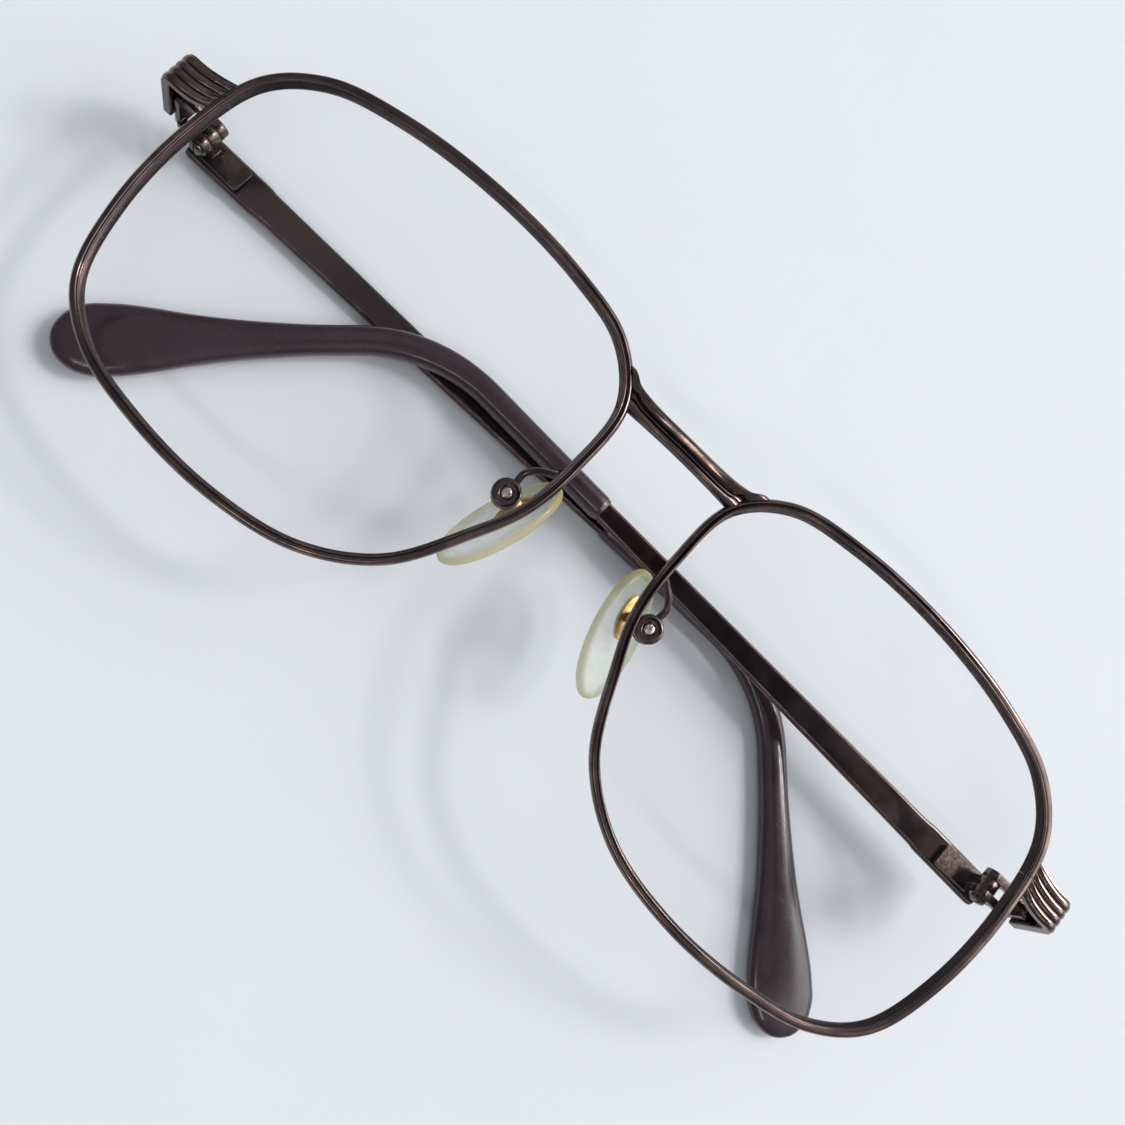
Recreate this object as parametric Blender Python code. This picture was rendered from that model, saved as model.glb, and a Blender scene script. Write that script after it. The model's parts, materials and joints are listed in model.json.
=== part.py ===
"""Metal full-rim eyeglasses, lying folded on their temples.

The script works in millimetres and writes metres. Three frames are used:
- the hinge frame: x towards the wearer's left, y up along both hinge axes, z forward;
- the front frame: the plane of the lenses, which leans forward at the top (pantoscopic tilt);
- a temple frame at each hinge: x along the temple, y up, z towards the outside of the head.
"""

import math

import bmesh
import bpy
from mathutils import Matrix, Vector

MM = 0.001
SIDES = {"right": -1, "left": 1}

# Colour, roughness, metallic
GUNMETAL = ("gunmetal_brown", (0.105, 0.082, 0.072, 1.0), 0.28, 1.0)
DARK_STEEL = ("dark_steel", (0.085, 0.08, 0.085, 1.0), 0.35, 1.0)
SCREW_STEEL = ("screw_steel", (0.62, 0.55, 0.5, 1.0), 0.25, 1.0)
LENS_GLASS = ("lens_glass", (0.9, 0.95, 0.95, 0.15), 0.02, 0.0)
TIP_PLASTIC = ("tip_plastic", (0.05, 0.028, 0.034, 1.0), 0.22, 0.0)
PAD_SILICONE = ("pad_silicone", (0.72, 0.75, 0.58, 0.6), 0.2, 0.0)
CORE_BRASS = ("core_brass", (0.5, 0.3, 0.1, 1.0), 0.35, 1.0)

# Lens shape and eyewires, in the front frame, with x from the middle of the bridge
LENS_CENTRE_X = 35.1
BASE_CURVE_RADIUS = 120.0
FACE_FORM_SLOPE = 0.05
EYEWIRE_STEPS = 56
POINTS_PER_KNOT = 12
EYEWIRE_OUTLINE = [
    (7.4, 6.5), (8.2, 15.0), (13.2, 20.0), (21.6, 21.8), (34.4, 22.1), (46.4, 20.7),
    (54.6, 18.2), (59.7, 13.2), (61.3, 4.0), (60.7, -7.0), (58.0, -15.4), (52.5, -19.7),
    (44.0, -21.7), (33.0, -22.1), (22.7, -20.0), (15.2, -14.8), (10.5, -6.5), (8.1, -0.6),
]
# Section of the wire: outward from its centre line, then forward. The notch is the lens groove.
EYEWIRE_SECTION = [
    (0.66, 0.0), (0.56, 0.52), (0.3, 0.86), (-0.1, 0.96), (-0.58, 0.74),
    (-0.18, 0.0), (-0.58, -0.74), (-0.1, -0.96), (0.3, -0.86), (0.56, -0.52),
]
EYEWIRE_HALF_WIDTH = 0.66
SPLIT_Y = 9.1
SPLIT_GAP = 0.3
SOLDER_GAP = 0.04

LENS_BEVEL_INSET = 0.32
LENS_EDGE_INSET = 0.9
LENS_HALF_THICKNESS = 0.75
LENS_RING_SHARES = (0.25, 0.65, 1.0)

# Bridge: each section point is (share of the half height, forward of the bridge's centre)
BRIDGE_SECTION = [
    (1.0, 0.0), (0.9, 0.55), (0.58, 0.92), (0.22, 0.72), (-0.06, 0.22), (-0.34, 0.26),
    (-0.56, 0.62), (-0.82, 0.58), (-0.98, 0.1), (-0.96, -0.45), (-0.7, -0.75), (0.7, -0.75),
    (0.96, -0.45),
]
BRIDGE_STATIONS = [0.0, 0.25, 0.5, 0.68, 0.82, 0.92, 1.0]
BRIDGE_MIDDLE_Y = 16.05
BRIDGE_MIDDLE_HALF_HEIGHT = 1.3
BRIDGE_END_RISE = 0.8
BRIDGE_END_FLARE = 0.8
BRIDGE_MIDDLE_Z = -1.5
BRIDGE_END_SETBACK = 0.9
BRIDGE_GAP = 0.32

# Hinge axes, in the front frame and, across, in both
HINGE_X = 62.5
HINGE_Y = 6.95
HINGE_DEPTH = 13.5
PANTOSCOPIC_TILT = math.radians(7)

# Folded rest: the right temple lies flat, the left one slopes across it
RIGHT_HINGE_HEIGHT = 5.62
LEFT_HINGE_HEIGHT = 11.9
TEMPLE_SLOPE = {"right": 0.0, "left": math.radians(2.7)}
BAR_RISE = math.radians(1.6)

# End pieces: ridged bands that run out from the rim and turn back to the hinge
BAND_HALF_HEIGHT = 2.05
BAND_THICKNESS = 1.0
BAND_OUTER_X = 4.75
BAND_START_X = 61.55
BAND_START_SETBACK = 0.15
BAND_START_SLANT = 0.19
BAND_FRONT_Z = 10.1
BAND_CORNER_RADIUS = 1.5
BAND_END_Z = 1.85
BAND_RIM_RISE = 0.95
RIDGE_COUNT = 4
RIDGE_HEIGHT = 0.22

# Screws
SCREW_STEPS = 16
HEAD_GAP = 0.03
HEAD_CHAMFER = 0.18

# Hinges
KNUCKLE_RADIUS = 1.25
KNUCKLE_HALF_GAP = 0.7
KNUCKLE_CLEARANCE = 0.06
KNUCKLE_TOP = 1.85
KNUCKLE_STEPS = 12
WEB_ROOT_DEPTH = 0.2
WEB_SHOULDER = 0.3
LEAF_NEAR = 2.85
LEAF_FAR = 3.62
LEAF_LENGTH = 5.6
LEAF_HALF_HEIGHT = 1.55
LEAF_END = 0.3
HINGE_BORE_RADIUS = 0.62
HINGE_SHAFT_RADIUS = 0.55
HINGE_HEAD_RADIUS = 0.98
HINGE_HEAD_HEIGHT = 0.55
HINGE_SHAFT_END = 0.1

# Closing blocks, in the front frame: split threaded barrels that clamp the rim on the lens
BLOCK_X = (61.85, 64.25)
BLOCK_Z = (-7.1, -4.95)
BLOCK_HALF_HEIGHT = 1.75
BLOCK_CHAMFER = 0.35
CLOSING_BORE_RADIUS = 0.56
CLOSING_SHAFT_RADIUS = 0.5
CLOSING_HEAD_RADIUS = 0.85
CLOSING_HEAD_HEIGHT = 0.5

# Nose pads, in the front frame
PAD_CENTRE = (8.95, -2.5, -9.8)
PAD_CANT = math.radians(16)
PAD_SPLAY = {"right": math.radians(48), "left": math.radians(36)}
PAD_HALF_LENGTH = 8.0
PAD_HALF_WIDTH = 3.75
PAD_THICKNESS = 1.5
PAD_STEPS = 28
CORE_RISE = 2.2
CORE_HALF_LENGTH = 2.7
CORE_HALF_WIDTH = 1.35
CORE_THICKNESS = 0.5
CORE_FIT = 0.06
PAD_SCREW_CENTRE = (10.75, -0.25, -6.0)
PAD_BOX_RADIUS = 1.7
PAD_BOX_STEPS = 20
PAD_BOX_FRONT = 1.0
PAD_BOX_BACK = -0.78
PAD_BOX_WALL = 0.95
LUG_RADIUS = 0.85
LUG_HALF_THICKNESS = 0.25
LUG_CLEARANCE = 0.07
NECK_HALF_WIDTH = 0.52
NECK_START = 0.2
NECK_REACH = 1.6
NECK_BEND = (0.4, 0.7)
PAD_BORE_RADIUS = 0.42
PAD_SCREW_STEPS = 14
PAD_SHAFT_RADIUS = 0.36
PAD_HEAD_RADIUS = 0.62
PAD_HEAD_HEIGHT = 0.28
PAD_ARM_RADIUS = 0.42
PAD_ARM_STEPS = 8
PAD_ARM_ROUTE = [
    (7.6, 5.0, -2.97), (7.75, 4.95, -3.7), (8.6, 4.6, -4.6), (10.0, 3.8, -5.3),
    (10.8, 2.7, -5.75), (10.82, 1.52, -5.95),
]

# Temples: distance along from the hinge, in the temple frame
TEMPLE_START = -1.7
TRIM_END = 8.0
SLEEVE_START = 63.5
BEND_START = 82.6
BEND_RADIUS = 20.0
BEND_ANGLE = math.radians(48)
CORE_WIRE_END = 118.0
BAR_INNER = 3.74
BAR_OUTER = 4.75
SLEEVE_MIDDLE = 4.2
BAR_CHAMFER = 0.3
TIP_STEPS = 14
TIP_SQUARENESS = 2.6
CORE_WIRE_HALF = (0.7, 0.42)
SOCKET_HALF = (0.78, 0.5)
# Half height of the bar along its length
BAR_HALF_HEIGHTS = [
    (TEMPLE_START, 1.9), (-1.2, 2.05), (TRIM_END, 2.03), (TRIM_END + 0.9, 1.9), (20.0, 1.78),
    (29.0, 1.68), (45.0, 1.5), (SLEEVE_START - 0.1, 1.3),
]
# Half height and half thickness of the tip along its length
TIP_SIZES = [
    (SLEEVE_START, 1.4, 1.25), (SLEEVE_START + 0.4, 1.55, 1.4), (72.0, 1.55, 1.38),
    (BEND_START, 1.58, 1.3), (86.8, 1.65, 1.28), (91.0, 1.7, 1.28), (95.2, 1.74, 1.28),
    (99.4, 1.77, 1.3), (104.5, 1.82, 1.36), (109.0, 2.04, 1.4), (113.5, 2.4, 1.4),
    (118.0, 2.95, 1.4), (122.3, 3.68, 1.4), (126.0, 4.12, 1.4), (128.5, 4.18, 1.38),
    (130.8, 3.6, 1.22), (132.4, 2.3, 0.9), (133.2, 0.9, 0.45),
]
# Where the core wire and its socket have a section, along the straight, the bend and the end
CORE_WIRE_STATIONS = [SLEEVE_START, BEND_START, 86.8, 91.0, 95.2, 99.4, 109.0, CORE_WIRE_END]
SOCKET_STATIONS = [SLEEVE_START + 0.02] + CORE_WIRE_STATIONS[1:] + [CORE_WIRE_END + 0.3]


def clear_scene():
    for old in list(bpy.data.objects):
        bpy.data.objects.remove(old, do_unlink=True)


def material(spec):
    name, colour, roughness, metallic = spec
    found = bpy.data.materials.get(name)
    if found:
        return found
    made = bpy.data.materials.new(name)
    made.use_nodes = True
    shader = made.node_tree.nodes["Principled BSDF"]
    shader.inputs["Base Color"].default_value = colour
    shader.inputs["Alpha"].default_value = colour[3]
    shader.inputs["Roughness"].default_value = roughness
    shader.inputs["Metallic"].default_value = metallic
    made.diffuse_color = colour
    return made


def empty(name, parent, matrix):
    made = bpy.data.objects.new(name, None)
    bpy.context.collection.objects.link(made)
    made.parent = parent
    made.matrix_basis = matrix
    return made


def place(x, y, z, rotation=None):
    moved = Matrix.Translation(Vector((x, y, z)) * MM)
    return moved @ rotation.to_4x4() if rotation else moved


def add_object(name, points, faces, spec, parent):
    """A mesh object from points in millimetres, with its faces turned outward."""
    mesh = bpy.data.meshes.new(name)
    mesh.from_pydata([Vector(p) * MM for p in points], [], faces)
    shape = bmesh.new()
    shape.from_mesh(mesh)
    bmesh.ops.recalc_face_normals(shape, faces=shape.faces)
    shape.to_mesh(mesh)
    shape.free()
    mesh.materials.append(material(spec))
    mesh.shade_smooth()
    mesh.set_sharp_from_angle(angle=math.radians(35))
    made = bpy.data.objects.new(name, mesh)
    bpy.context.collection.objects.link(made)
    made.parent = parent
    return made


def loft(rings):
    """Points and faces of a skin over rings of equal length, closed by a face at each end."""
    count = len(rings[0])
    points = [point for ring in rings for point in ring]
    faces = []
    for i in range(len(rings) - 1):
        for j in range(count):
            a, b = i * count + j, i * count + (j + 1) % count
            faces.append((a, b, b + count, a + count))
    faces.append(tuple(reversed(range(count))))
    faces.append(tuple(range(len(points) - count, len(points))))
    return points, faces


def prism(outline, low, high, along):
    """An outline of (a, b) pairs, extruded along one axis. The pair fills the other two in order."""
    rings = []
    for level in (low, high):
        ring = [list(pair) for pair in outline]
        for point in ring:
            point.insert(along, level)
        rings.append(ring)
    return loft(rings)


def box(low, high):
    (x0, y0, z0), (x1, y1, z1) = low, high
    return prism([(x0, y0), (x1, y0), (x1, y1), (x0, y1)], z0, z1, 2)


def circle(radius, steps, centre=(0.0, 0.0), phase=0.5):
    turns = [math.tau * (k + phase) / steps for k in range(steps)]
    return [(centre[0] + radius * math.cos(a), centre[1] + radius * math.sin(a)) for a in turns]


def stepped_shaft(profile, steps, centre, along):
    """A turned solid: (position, radius) pairs along an axis through the centre."""
    across = [axis for axis in range(3) if axis != along]
    rings = []
    for position, radius in profile:
        ring = []
        for a, b in circle(radius, steps):
            point = list(centre)
            point[across[0]] += a
            point[across[1]] += b
            point[along] += position
            ring.append(point)
        rings.append(ring)
    return loft(rings)


def combine(target, operation, shape):
    """A Boolean on the target with a hidden helper made from (points, faces)."""
    helper = add_object(target.name + "_helper", *shape, DARK_STEEL, target.parent)
    helper.hide_render = True
    helper.display_type = "WIRE"
    modifier = target.modifiers.new(operation.lower(), "BOOLEAN")
    modifier.operation = operation
    modifier.solver = "EXACT"
    modifier.object = helper


def mirrored(shape, side):
    points, faces = shape
    return [(side * x, y, z) for x, y, z in points], faces


def smooth_loop(knots, steps):
    """Points on a closed centripetal Catmull-Rom curve, with the same number in each span."""
    points = []
    count = len(knots)
    for i in range(count):
        span = [Vector(knots[(i + k) % count]) for k in (-1, 0, 1, 2)]
        times = [0.0]
        for a, b in zip(span, span[1:]):
            times.append(times[-1] + math.sqrt((b - a).length))
        for k in range(steps):
            t = times[1] + (times[2] - times[1]) * k / steps
            points.append(curve_point(span, times, t))
    return points


def curve_point(span, times, t):
    first = [mix(span[k], span[k + 1], times[k], times[k + 1], t) for k in range(3)]
    second = [mix(first[k], first[k + 1], times[k], times[k + 2], t) for k in range(2)]
    return mix(second[0], second[1], times[1], times[2], t)


def mix(a, b, start, end, t):
    return a + (b - a) * ((t - start) / (end - start))


def stations(table, position):
    """Reads a table of (position, values...) between its rows."""
    previous = table[0]
    for row in table[1:]:
        if position <= row[0]:
            share = (position - previous[0]) / (row[0] - previous[0])
            return [a + (b - a) * share for a, b in zip(previous[1:], row[1:])]
        previous = row
    return list(table[-1][1:])


def lens_surface(x, y):
    """How far the middle surface of the lens lies behind the front frame's plane, as a z."""
    across = x - LENS_CENTRE_X
    return -(across * across + y * y) / (2 * BASE_CURVE_RADIUS) - FACE_FORM_SLOPE * across


def surface_normal(x, y):
    slope_x = (x - LENS_CENTRE_X) / BASE_CURVE_RADIUS + FACE_FORM_SLOPE
    return Vector((slope_x, y / BASE_CURVE_RADIUS, 1.0)).normalized()


def rim_frames():
    """The rim's centre line from one side of its split to the other: (centre, outward, forward)."""
    loop = smooth_loop(EYEWIRE_OUTLINE, POINTS_PER_KNOT)
    count = len(loop)
    low = next(k for k in range(count) if loop[k].x > 50 and loop[k].y >= SPLIT_Y > loop[k + 1].y)
    share = (loop[low].y - SPLIT_Y) / (loop[low].y - loop[low + 1].y)
    route = [loop[low].lerp(loop[low + 1], share)]
    route += [loop[(low + 1 + k) % count] for k in range(count)]
    route.append(route[0])
    lengths = [0.0]
    for a, b in zip(route, route[1:]):
        lengths.append(lengths[-1] + (b - a).length)
    frames = []
    for k in range(EYEWIRE_STEPS + 1):
        wanted = SPLIT_GAP / 2 + (lengths[-1] - SPLIT_GAP) * k / EYEWIRE_STEPS
        i = max(n for n in range(len(route) - 1) if lengths[n] <= wanted)
        share = (wanted - lengths[i]) / (lengths[i + 1] - lengths[i])
        flat = route[i].lerp(route[i + 1], share)
        tangent = route[(i + 1) % len(route)] - route[i]
        forward = surface_normal(flat.x, flat.y)
        outward = Vector((-tangent.y, tangent.x, 0.0)).normalized()
        outward = (outward - forward * outward.dot(forward)).normalized()
        centre = Vector((flat.x, flat.y, lens_surface(flat.x, flat.y)))
        frames.append((centre, outward, forward))
    return frames


def rim_outer_x(y):
    """Where the outer side of the rim stands on the nose side, at a height above the lens's middle."""
    nose_side = [f for f in rim_frames() if f[0].x < LENS_CENTRE_X]
    edge = [f[0] + f[1] * (EYEWIRE_HALF_WIDTH + SOLDER_GAP) for f in nose_side]
    above = min((p for p in edge if p.y >= y), key=lambda p: p.y)
    below = max((p for p in edge if p.y < y), key=lambda p: p.y)
    return mix(below.x, above.x, below.y, above.y, y)


def build_eyewire(name, side, frames, parent):
    rings = []
    for centre, outward, forward in frames:
        rings.append([centre + outward * a + forward * b for a, b in EYEWIRE_SECTION])
    add_object(name + "_eyewire", *mirrored(loft(rings), side), GUNMETAL, parent)


def build_lens(name, side, frames, parent):
    """A plano meniscus with a bevelled edge that stands in the eyewire's groove."""
    def edge_ring(inset, forward_by):
        return [c - o * inset + f * forward_by for c, o, f in frames]

    def face_ring(share, forward_by):
        ring = []
        for point in edge_ring(LENS_EDGE_INSET, 0.0):
            x = LENS_CENTRE_X + (point.x - LENS_CENTRE_X) * share
            y = point.y * share
            ring.append(Vector((x, y, lens_surface(x, y) + forward_by)))
        return ring

    front, back = LENS_HALF_THICKNESS, -LENS_HALF_THICKNESS
    rings = [face_ring(share, front) for share in LENS_RING_SHARES]
    rings.append(edge_ring(LENS_BEVEL_INSET, 0.0))
    rings += [face_ring(share, back) for share in reversed(LENS_RING_SHARES)]
    add_object(name + "_lens", *mirrored(loft(rings), side), LENS_GLASS, parent)


def build_bridge(parent):
    """A cast bar with two lobes and a groove, whose ends spread up along the rims."""
    sides = [-t for t in reversed(BRIDGE_STATIONS[1:])] + BRIDGE_STATIONS
    end_centre = BRIDGE_MIDDLE_Y + BRIDGE_END_RISE
    end_half = BRIDGE_MIDDLE_HALF_HEIGHT + BRIDGE_END_FLARE
    reach = [rim_outer_x(end_centre + v * end_half) - BRIDGE_GAP for v, _ in BRIDGE_SECTION]
    rings = []
    for t in sides:
        spread = abs(t) ** 4
        middle = BRIDGE_MIDDLE_Y + BRIDGE_END_RISE * spread
        half = BRIDGE_MIDDLE_HALF_HEIGHT + BRIDGE_END_FLARE * spread
        setback = BRIDGE_MIDDLE_Z - BRIDGE_END_SETBACK * t * t
        ring = []
        for (v, forward_by), end_x in zip(BRIDGE_SECTION, reach):
            ring.append(Vector((t * end_x, middle + v * half, setback + forward_by)))
        rings.append(ring)
    add_object("bridge", *loft(rings), GUNMETAL, parent)


def ridge_profile():
    """The band's outer face: (share of the half height, share of the ridge height)."""
    profile = [(-1.0, 0.2)]
    for k in range(RIDGE_COUNT):
        low = -0.94 + 1.88 * k / RIDGE_COUNT
        profile.append((low + 0.94 / RIDGE_COUNT, 1.0))
        if k < RIDGE_COUNT - 1:
            profile.append((low + 1.88 / RIDGE_COUNT, 0.0))
    profile.append((1.0, 0.2))
    return profile


def band_ring(point, outward, up):
    ring = [
        point + up * (v * BAND_HALF_HEIGHT) + outward * (r * RIDGE_HEIGHT)
        for v, r in ridge_profile()
    ]
    for v in (0.96, -0.96):
        ring.append(point + up * (v * BAND_HALF_HEIGHT) - outward * BAND_THICKNESS)
    return ring


def build_end_piece(name, side, parent):
    """In the hinge frame: from the rim outward, round the corner and back to the hinge."""
    outer_x = HINGE_X + BAND_OUTER_X
    corner_x = outer_x - BAND_CORNER_RADIUS
    corner_z = BAND_FRONT_Z - BAND_CORNER_RADIUS
    rings = []
    for share in (0.0, 0.5, 1.0):
        lean = PANTOSCOPIC_TILT * (1 - share)
        up = Vector((0.0, math.cos(lean), math.sin(lean)))
        forward = Vector((0.0, -math.sin(lean), math.cos(lean)))
        x = mix(BAND_START_X, corner_x, 0.0, 1.0, share)
        front_z = BAND_FRONT_Z - BAND_START_SETBACK * (1 - share)
        centre = Vector((x, BAND_RIM_RISE * (1 - share) ** 2, front_z))
        ring = band_ring(centre, forward, up)
        if share == 0.0:
            ring = [p + Vector((BAND_START_SLANT * (centre.y - p.y), 0.0, 0.0)) for p in ring]
        rings.append(ring)
    for turn in (22.5, 45.0, 67.5, 90.0):
        a = math.radians(turn)
        outward = Vector((math.sin(a), 0.0, math.cos(a)))
        centre = Vector((corner_x, 0.0, corner_z)) + outward * BAND_CORNER_RADIUS
        rings.append(band_ring(centre, outward, Vector((0.0, 1.0, 0.0))))
    end = Vector((outer_x, 0.0, BAND_END_Z))
    rings.append(band_ring(end, Vector((1.0, 0.0, 0.0)), Vector((0.0, 1.0, 0.0))))
    add_object(name + "_end_piece", *mirrored(loft(rings), side), GUNMETAL, parent)


def build_closing_block(name, side, parent):
    """Two half barrels, one at each end of the split rim, and the screw that draws them together."""
    middle = (sum(BLOCK_X) / 2, SPLIT_Y, sum(BLOCK_Z) / 2)
    top = BLOCK_HALF_HEIGHT
    half_gap = SPLIT_GAP / 2
    for part, low, high in (("upper", half_gap, top), ("lower", -top, -half_gap)):
        chamfer = BLOCK_CHAMFER
        (x0, x1), (z0, z1) = BLOCK_X, BLOCK_Z
        outline = [
            (x0, z0), (x1 - chamfer, z0), (x1, z0 + chamfer), (x1, z1 - chamfer),
            (x1 - chamfer, z1), (x0, z1),
        ]
        shape = prism(outline, SPLIT_Y + low, SPLIT_Y + high, 1)
        node = name + "_closing_block_" + part
        block = add_object(node, *mirrored(shape, side), GUNMETAL, parent)
        bore = stepped_shaft(
            [(-2 * top, CLOSING_BORE_RADIUS), (2 * top, CLOSING_BORE_RADIUS)], SCREW_STEPS, middle, 1
        )
        combine(block, "DIFFERENCE", mirrored(bore, side))
    head = -top - HEAD_GAP
    profile = [
        (head - CLOSING_HEAD_HEIGHT, CLOSING_HEAD_RADIUS - HEAD_CHAMFER),
        (head - CLOSING_HEAD_HEIGHT + HEAD_CHAMFER, CLOSING_HEAD_RADIUS),
        (head, CLOSING_HEAD_RADIUS), (head, CLOSING_SHAFT_RADIUS), (top, CLOSING_SHAFT_RADIUS),
    ]
    screw = stepped_shaft(profile, SCREW_STEPS, middle, 1)
    add_object(name + "_closing_screw", *mirrored(screw, side), SCREW_STEEL, parent)


def knuckle_web(low, high):
    """A knuckle round the hinge axis with the web that joins it to its leaf, in the temple frame."""
    root = -LEAF_NEAR - WEB_ROOT_DEPTH
    outline = [(LEAF_END, root), (KNUCKLE_RADIUS, root)]
    for k in range(KNUCKLE_STEPS + 1):
        a = math.pi * k / KNUCKLE_STEPS
        outline.append((KNUCKLE_RADIUS * math.cos(a), KNUCKLE_RADIUS * math.sin(a)))
    outline += [(-KNUCKLE_RADIUS, -WEB_SHOULDER), (LEAF_END, -WEB_SHOULDER - KNUCKLE_RADIUS)]
    return prism(outline, low, high, 1)


def hinge_leaf(node, side, bands, parent, turn):
    """A leaf plate with its knuckles. In the temple frame it lies at negative z before the turn."""
    half = LEAF_HALF_HEIGHT

    def turned(shape):
        points, faces = shape
        return mirrored(([turn @ Vector(p) for p in points], faces), side)

    plate = box((LEAF_END, -half, -LEAF_FAR), (LEAF_LENGTH, half, -LEAF_NEAR))
    leaf = add_object(node, *turned(plate), DARK_STEEL, parent)
    for low, high in bands:
        combine(leaf, "UNION", turned(knuckle_web(low, high)))
    through = [(-2 * KNUCKLE_TOP, HINGE_BORE_RADIUS), (2 * KNUCKLE_TOP, HINGE_BORE_RADIUS)]
    bore = stepped_shaft(through, SCREW_STEPS, (0.0, 0.0, 0.0), 1)
    combine(leaf, "DIFFERENCE", turned(bore))


def build_front_hinge(name, side, parent):
    """The leaf on the end piece, with two knuckles, and the hinge screw that is tight in it."""
    inner = KNUCKLE_HALF_GAP + KNUCKLE_CLEARANCE
    bands = [(inner, KNUCKLE_TOP), (-KNUCKLE_TOP, -inner)]
    turn = Matrix(((0, 0, -1), (0, 1, 0), (1, 0, 0)))
    hinge_leaf(name + "_hinge_front_leaf", side, bands, parent, turn)
    head = -KNUCKLE_TOP - HEAD_GAP
    profile = [
        (head - HINGE_HEAD_HEIGHT, HINGE_HEAD_RADIUS - HEAD_CHAMFER),
        (head - HINGE_HEAD_HEIGHT + HEAD_CHAMFER, HINGE_HEAD_RADIUS),
        (head, HINGE_HEAD_RADIUS), (head, HINGE_SHAFT_RADIUS),
        (KNUCKLE_TOP + HINGE_SHAFT_END, HINGE_SHAFT_RADIUS),
    ]
    screw = stepped_shaft(profile, SCREW_STEPS, (0.0, 0.0, 0.0), 1)
    add_object(name + "_hinge_screw", *mirrored(screw, side), SCREW_STEEL, parent)


def temple_route(position):
    """The temple's centre line in its frame: (x, y) and the direction it runs in."""
    arc_end = BEND_START + BEND_RADIUS * BEND_ANGLE
    if position <= BEND_START:
        return Vector((position, 0.0, 0.0)), 0.0
    angle = min((position - BEND_START) / BEND_RADIUS, BEND_ANGLE)
    x = BEND_START + BEND_RADIUS * math.sin(angle)
    y = -BEND_RADIUS * (1 - math.cos(angle))
    beyond = max(0.0, position - arc_end)
    x += beyond * math.cos(angle)
    y -= beyond * math.sin(angle)
    return Vector((x, y, 0.0)), angle


def route_ring(position, section):
    """A section of (up, outside) pairs across the temple at a position along it."""
    centre, angle = temple_route(position)
    up = Vector((math.sin(angle), math.cos(angle), 0.0))
    turned = Matrix.Rotation(BAR_RISE, 3, "Z")
    return [turned @ (centre + up * a) + Vector((0.0, 0.0, -b)) for a, b in section]


def bar_section(position):
    """Flat inside, ridged outside over the trim length, then softly crowned."""
    half = stations(BAR_HALF_HEIGHTS, position)[0]
    section = []
    for v, r in ridge_profile():
        rise = r if position <= TRIM_END else 1 - v ** 4
        section.append((v * half, BAR_OUTER - RIDGE_HEIGHT * (1 - rise)))
    section += [(half, BAR_INNER + BAR_CHAMFER), (half - BAR_CHAMFER, BAR_INNER)]
    section += [(BAR_CHAMFER - half, BAR_INNER), (-half, BAR_INNER + BAR_CHAMFER)]
    return section


def oval_section(half_height, half_thickness, count, squareness, phase=0.0):
    """A rounded section about the sleeve's middle. A squareness of 2 makes an ellipse."""
    section = []
    for k in range(count):
        a = math.tau * (k + 0.5) / count - phase
        c, s = math.cos(a), math.sin(a)
        up = math.copysign(abs(s) ** (2 / squareness), s) * half_height
        out = math.copysign(abs(c) ** (2 / squareness), c) * half_thickness
        section.append((up, SLEEVE_MIDDLE + out))
    return section


def build_bar(name, parent):
    """The temple bar, which runs on as the core wire inside its tip."""
    rings = [route_ring(row[0], bar_section(row[0])) for row in BAR_HALF_HEIGHTS]
    wire = oval_section(*CORE_WIRE_HALF, len(rings[0]), 2, math.radians(90))
    rings += [route_ring(position, wire) for position in CORE_WIRE_STATIONS]
    add_object(name + "_temple_bar", *loft(rings), GUNMETAL, parent)


def build_tip(name, parent):
    """The plastic tip, with a socket for the core wire open at its front end."""
    socket = oval_section(*SOCKET_HALF, TIP_STEPS, 2)
    rings = [route_ring(position, socket) for position in reversed(SOCKET_STATIONS)]
    for position, half_height, half_thickness in TIP_SIZES:
        section = oval_section(half_height, half_thickness, TIP_STEPS, TIP_SQUARENESS)
        rings.append(route_ring(position, section))
    add_object(name + "_temple_tip", *loft(rings), TIP_PLASTIC, parent)


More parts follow.
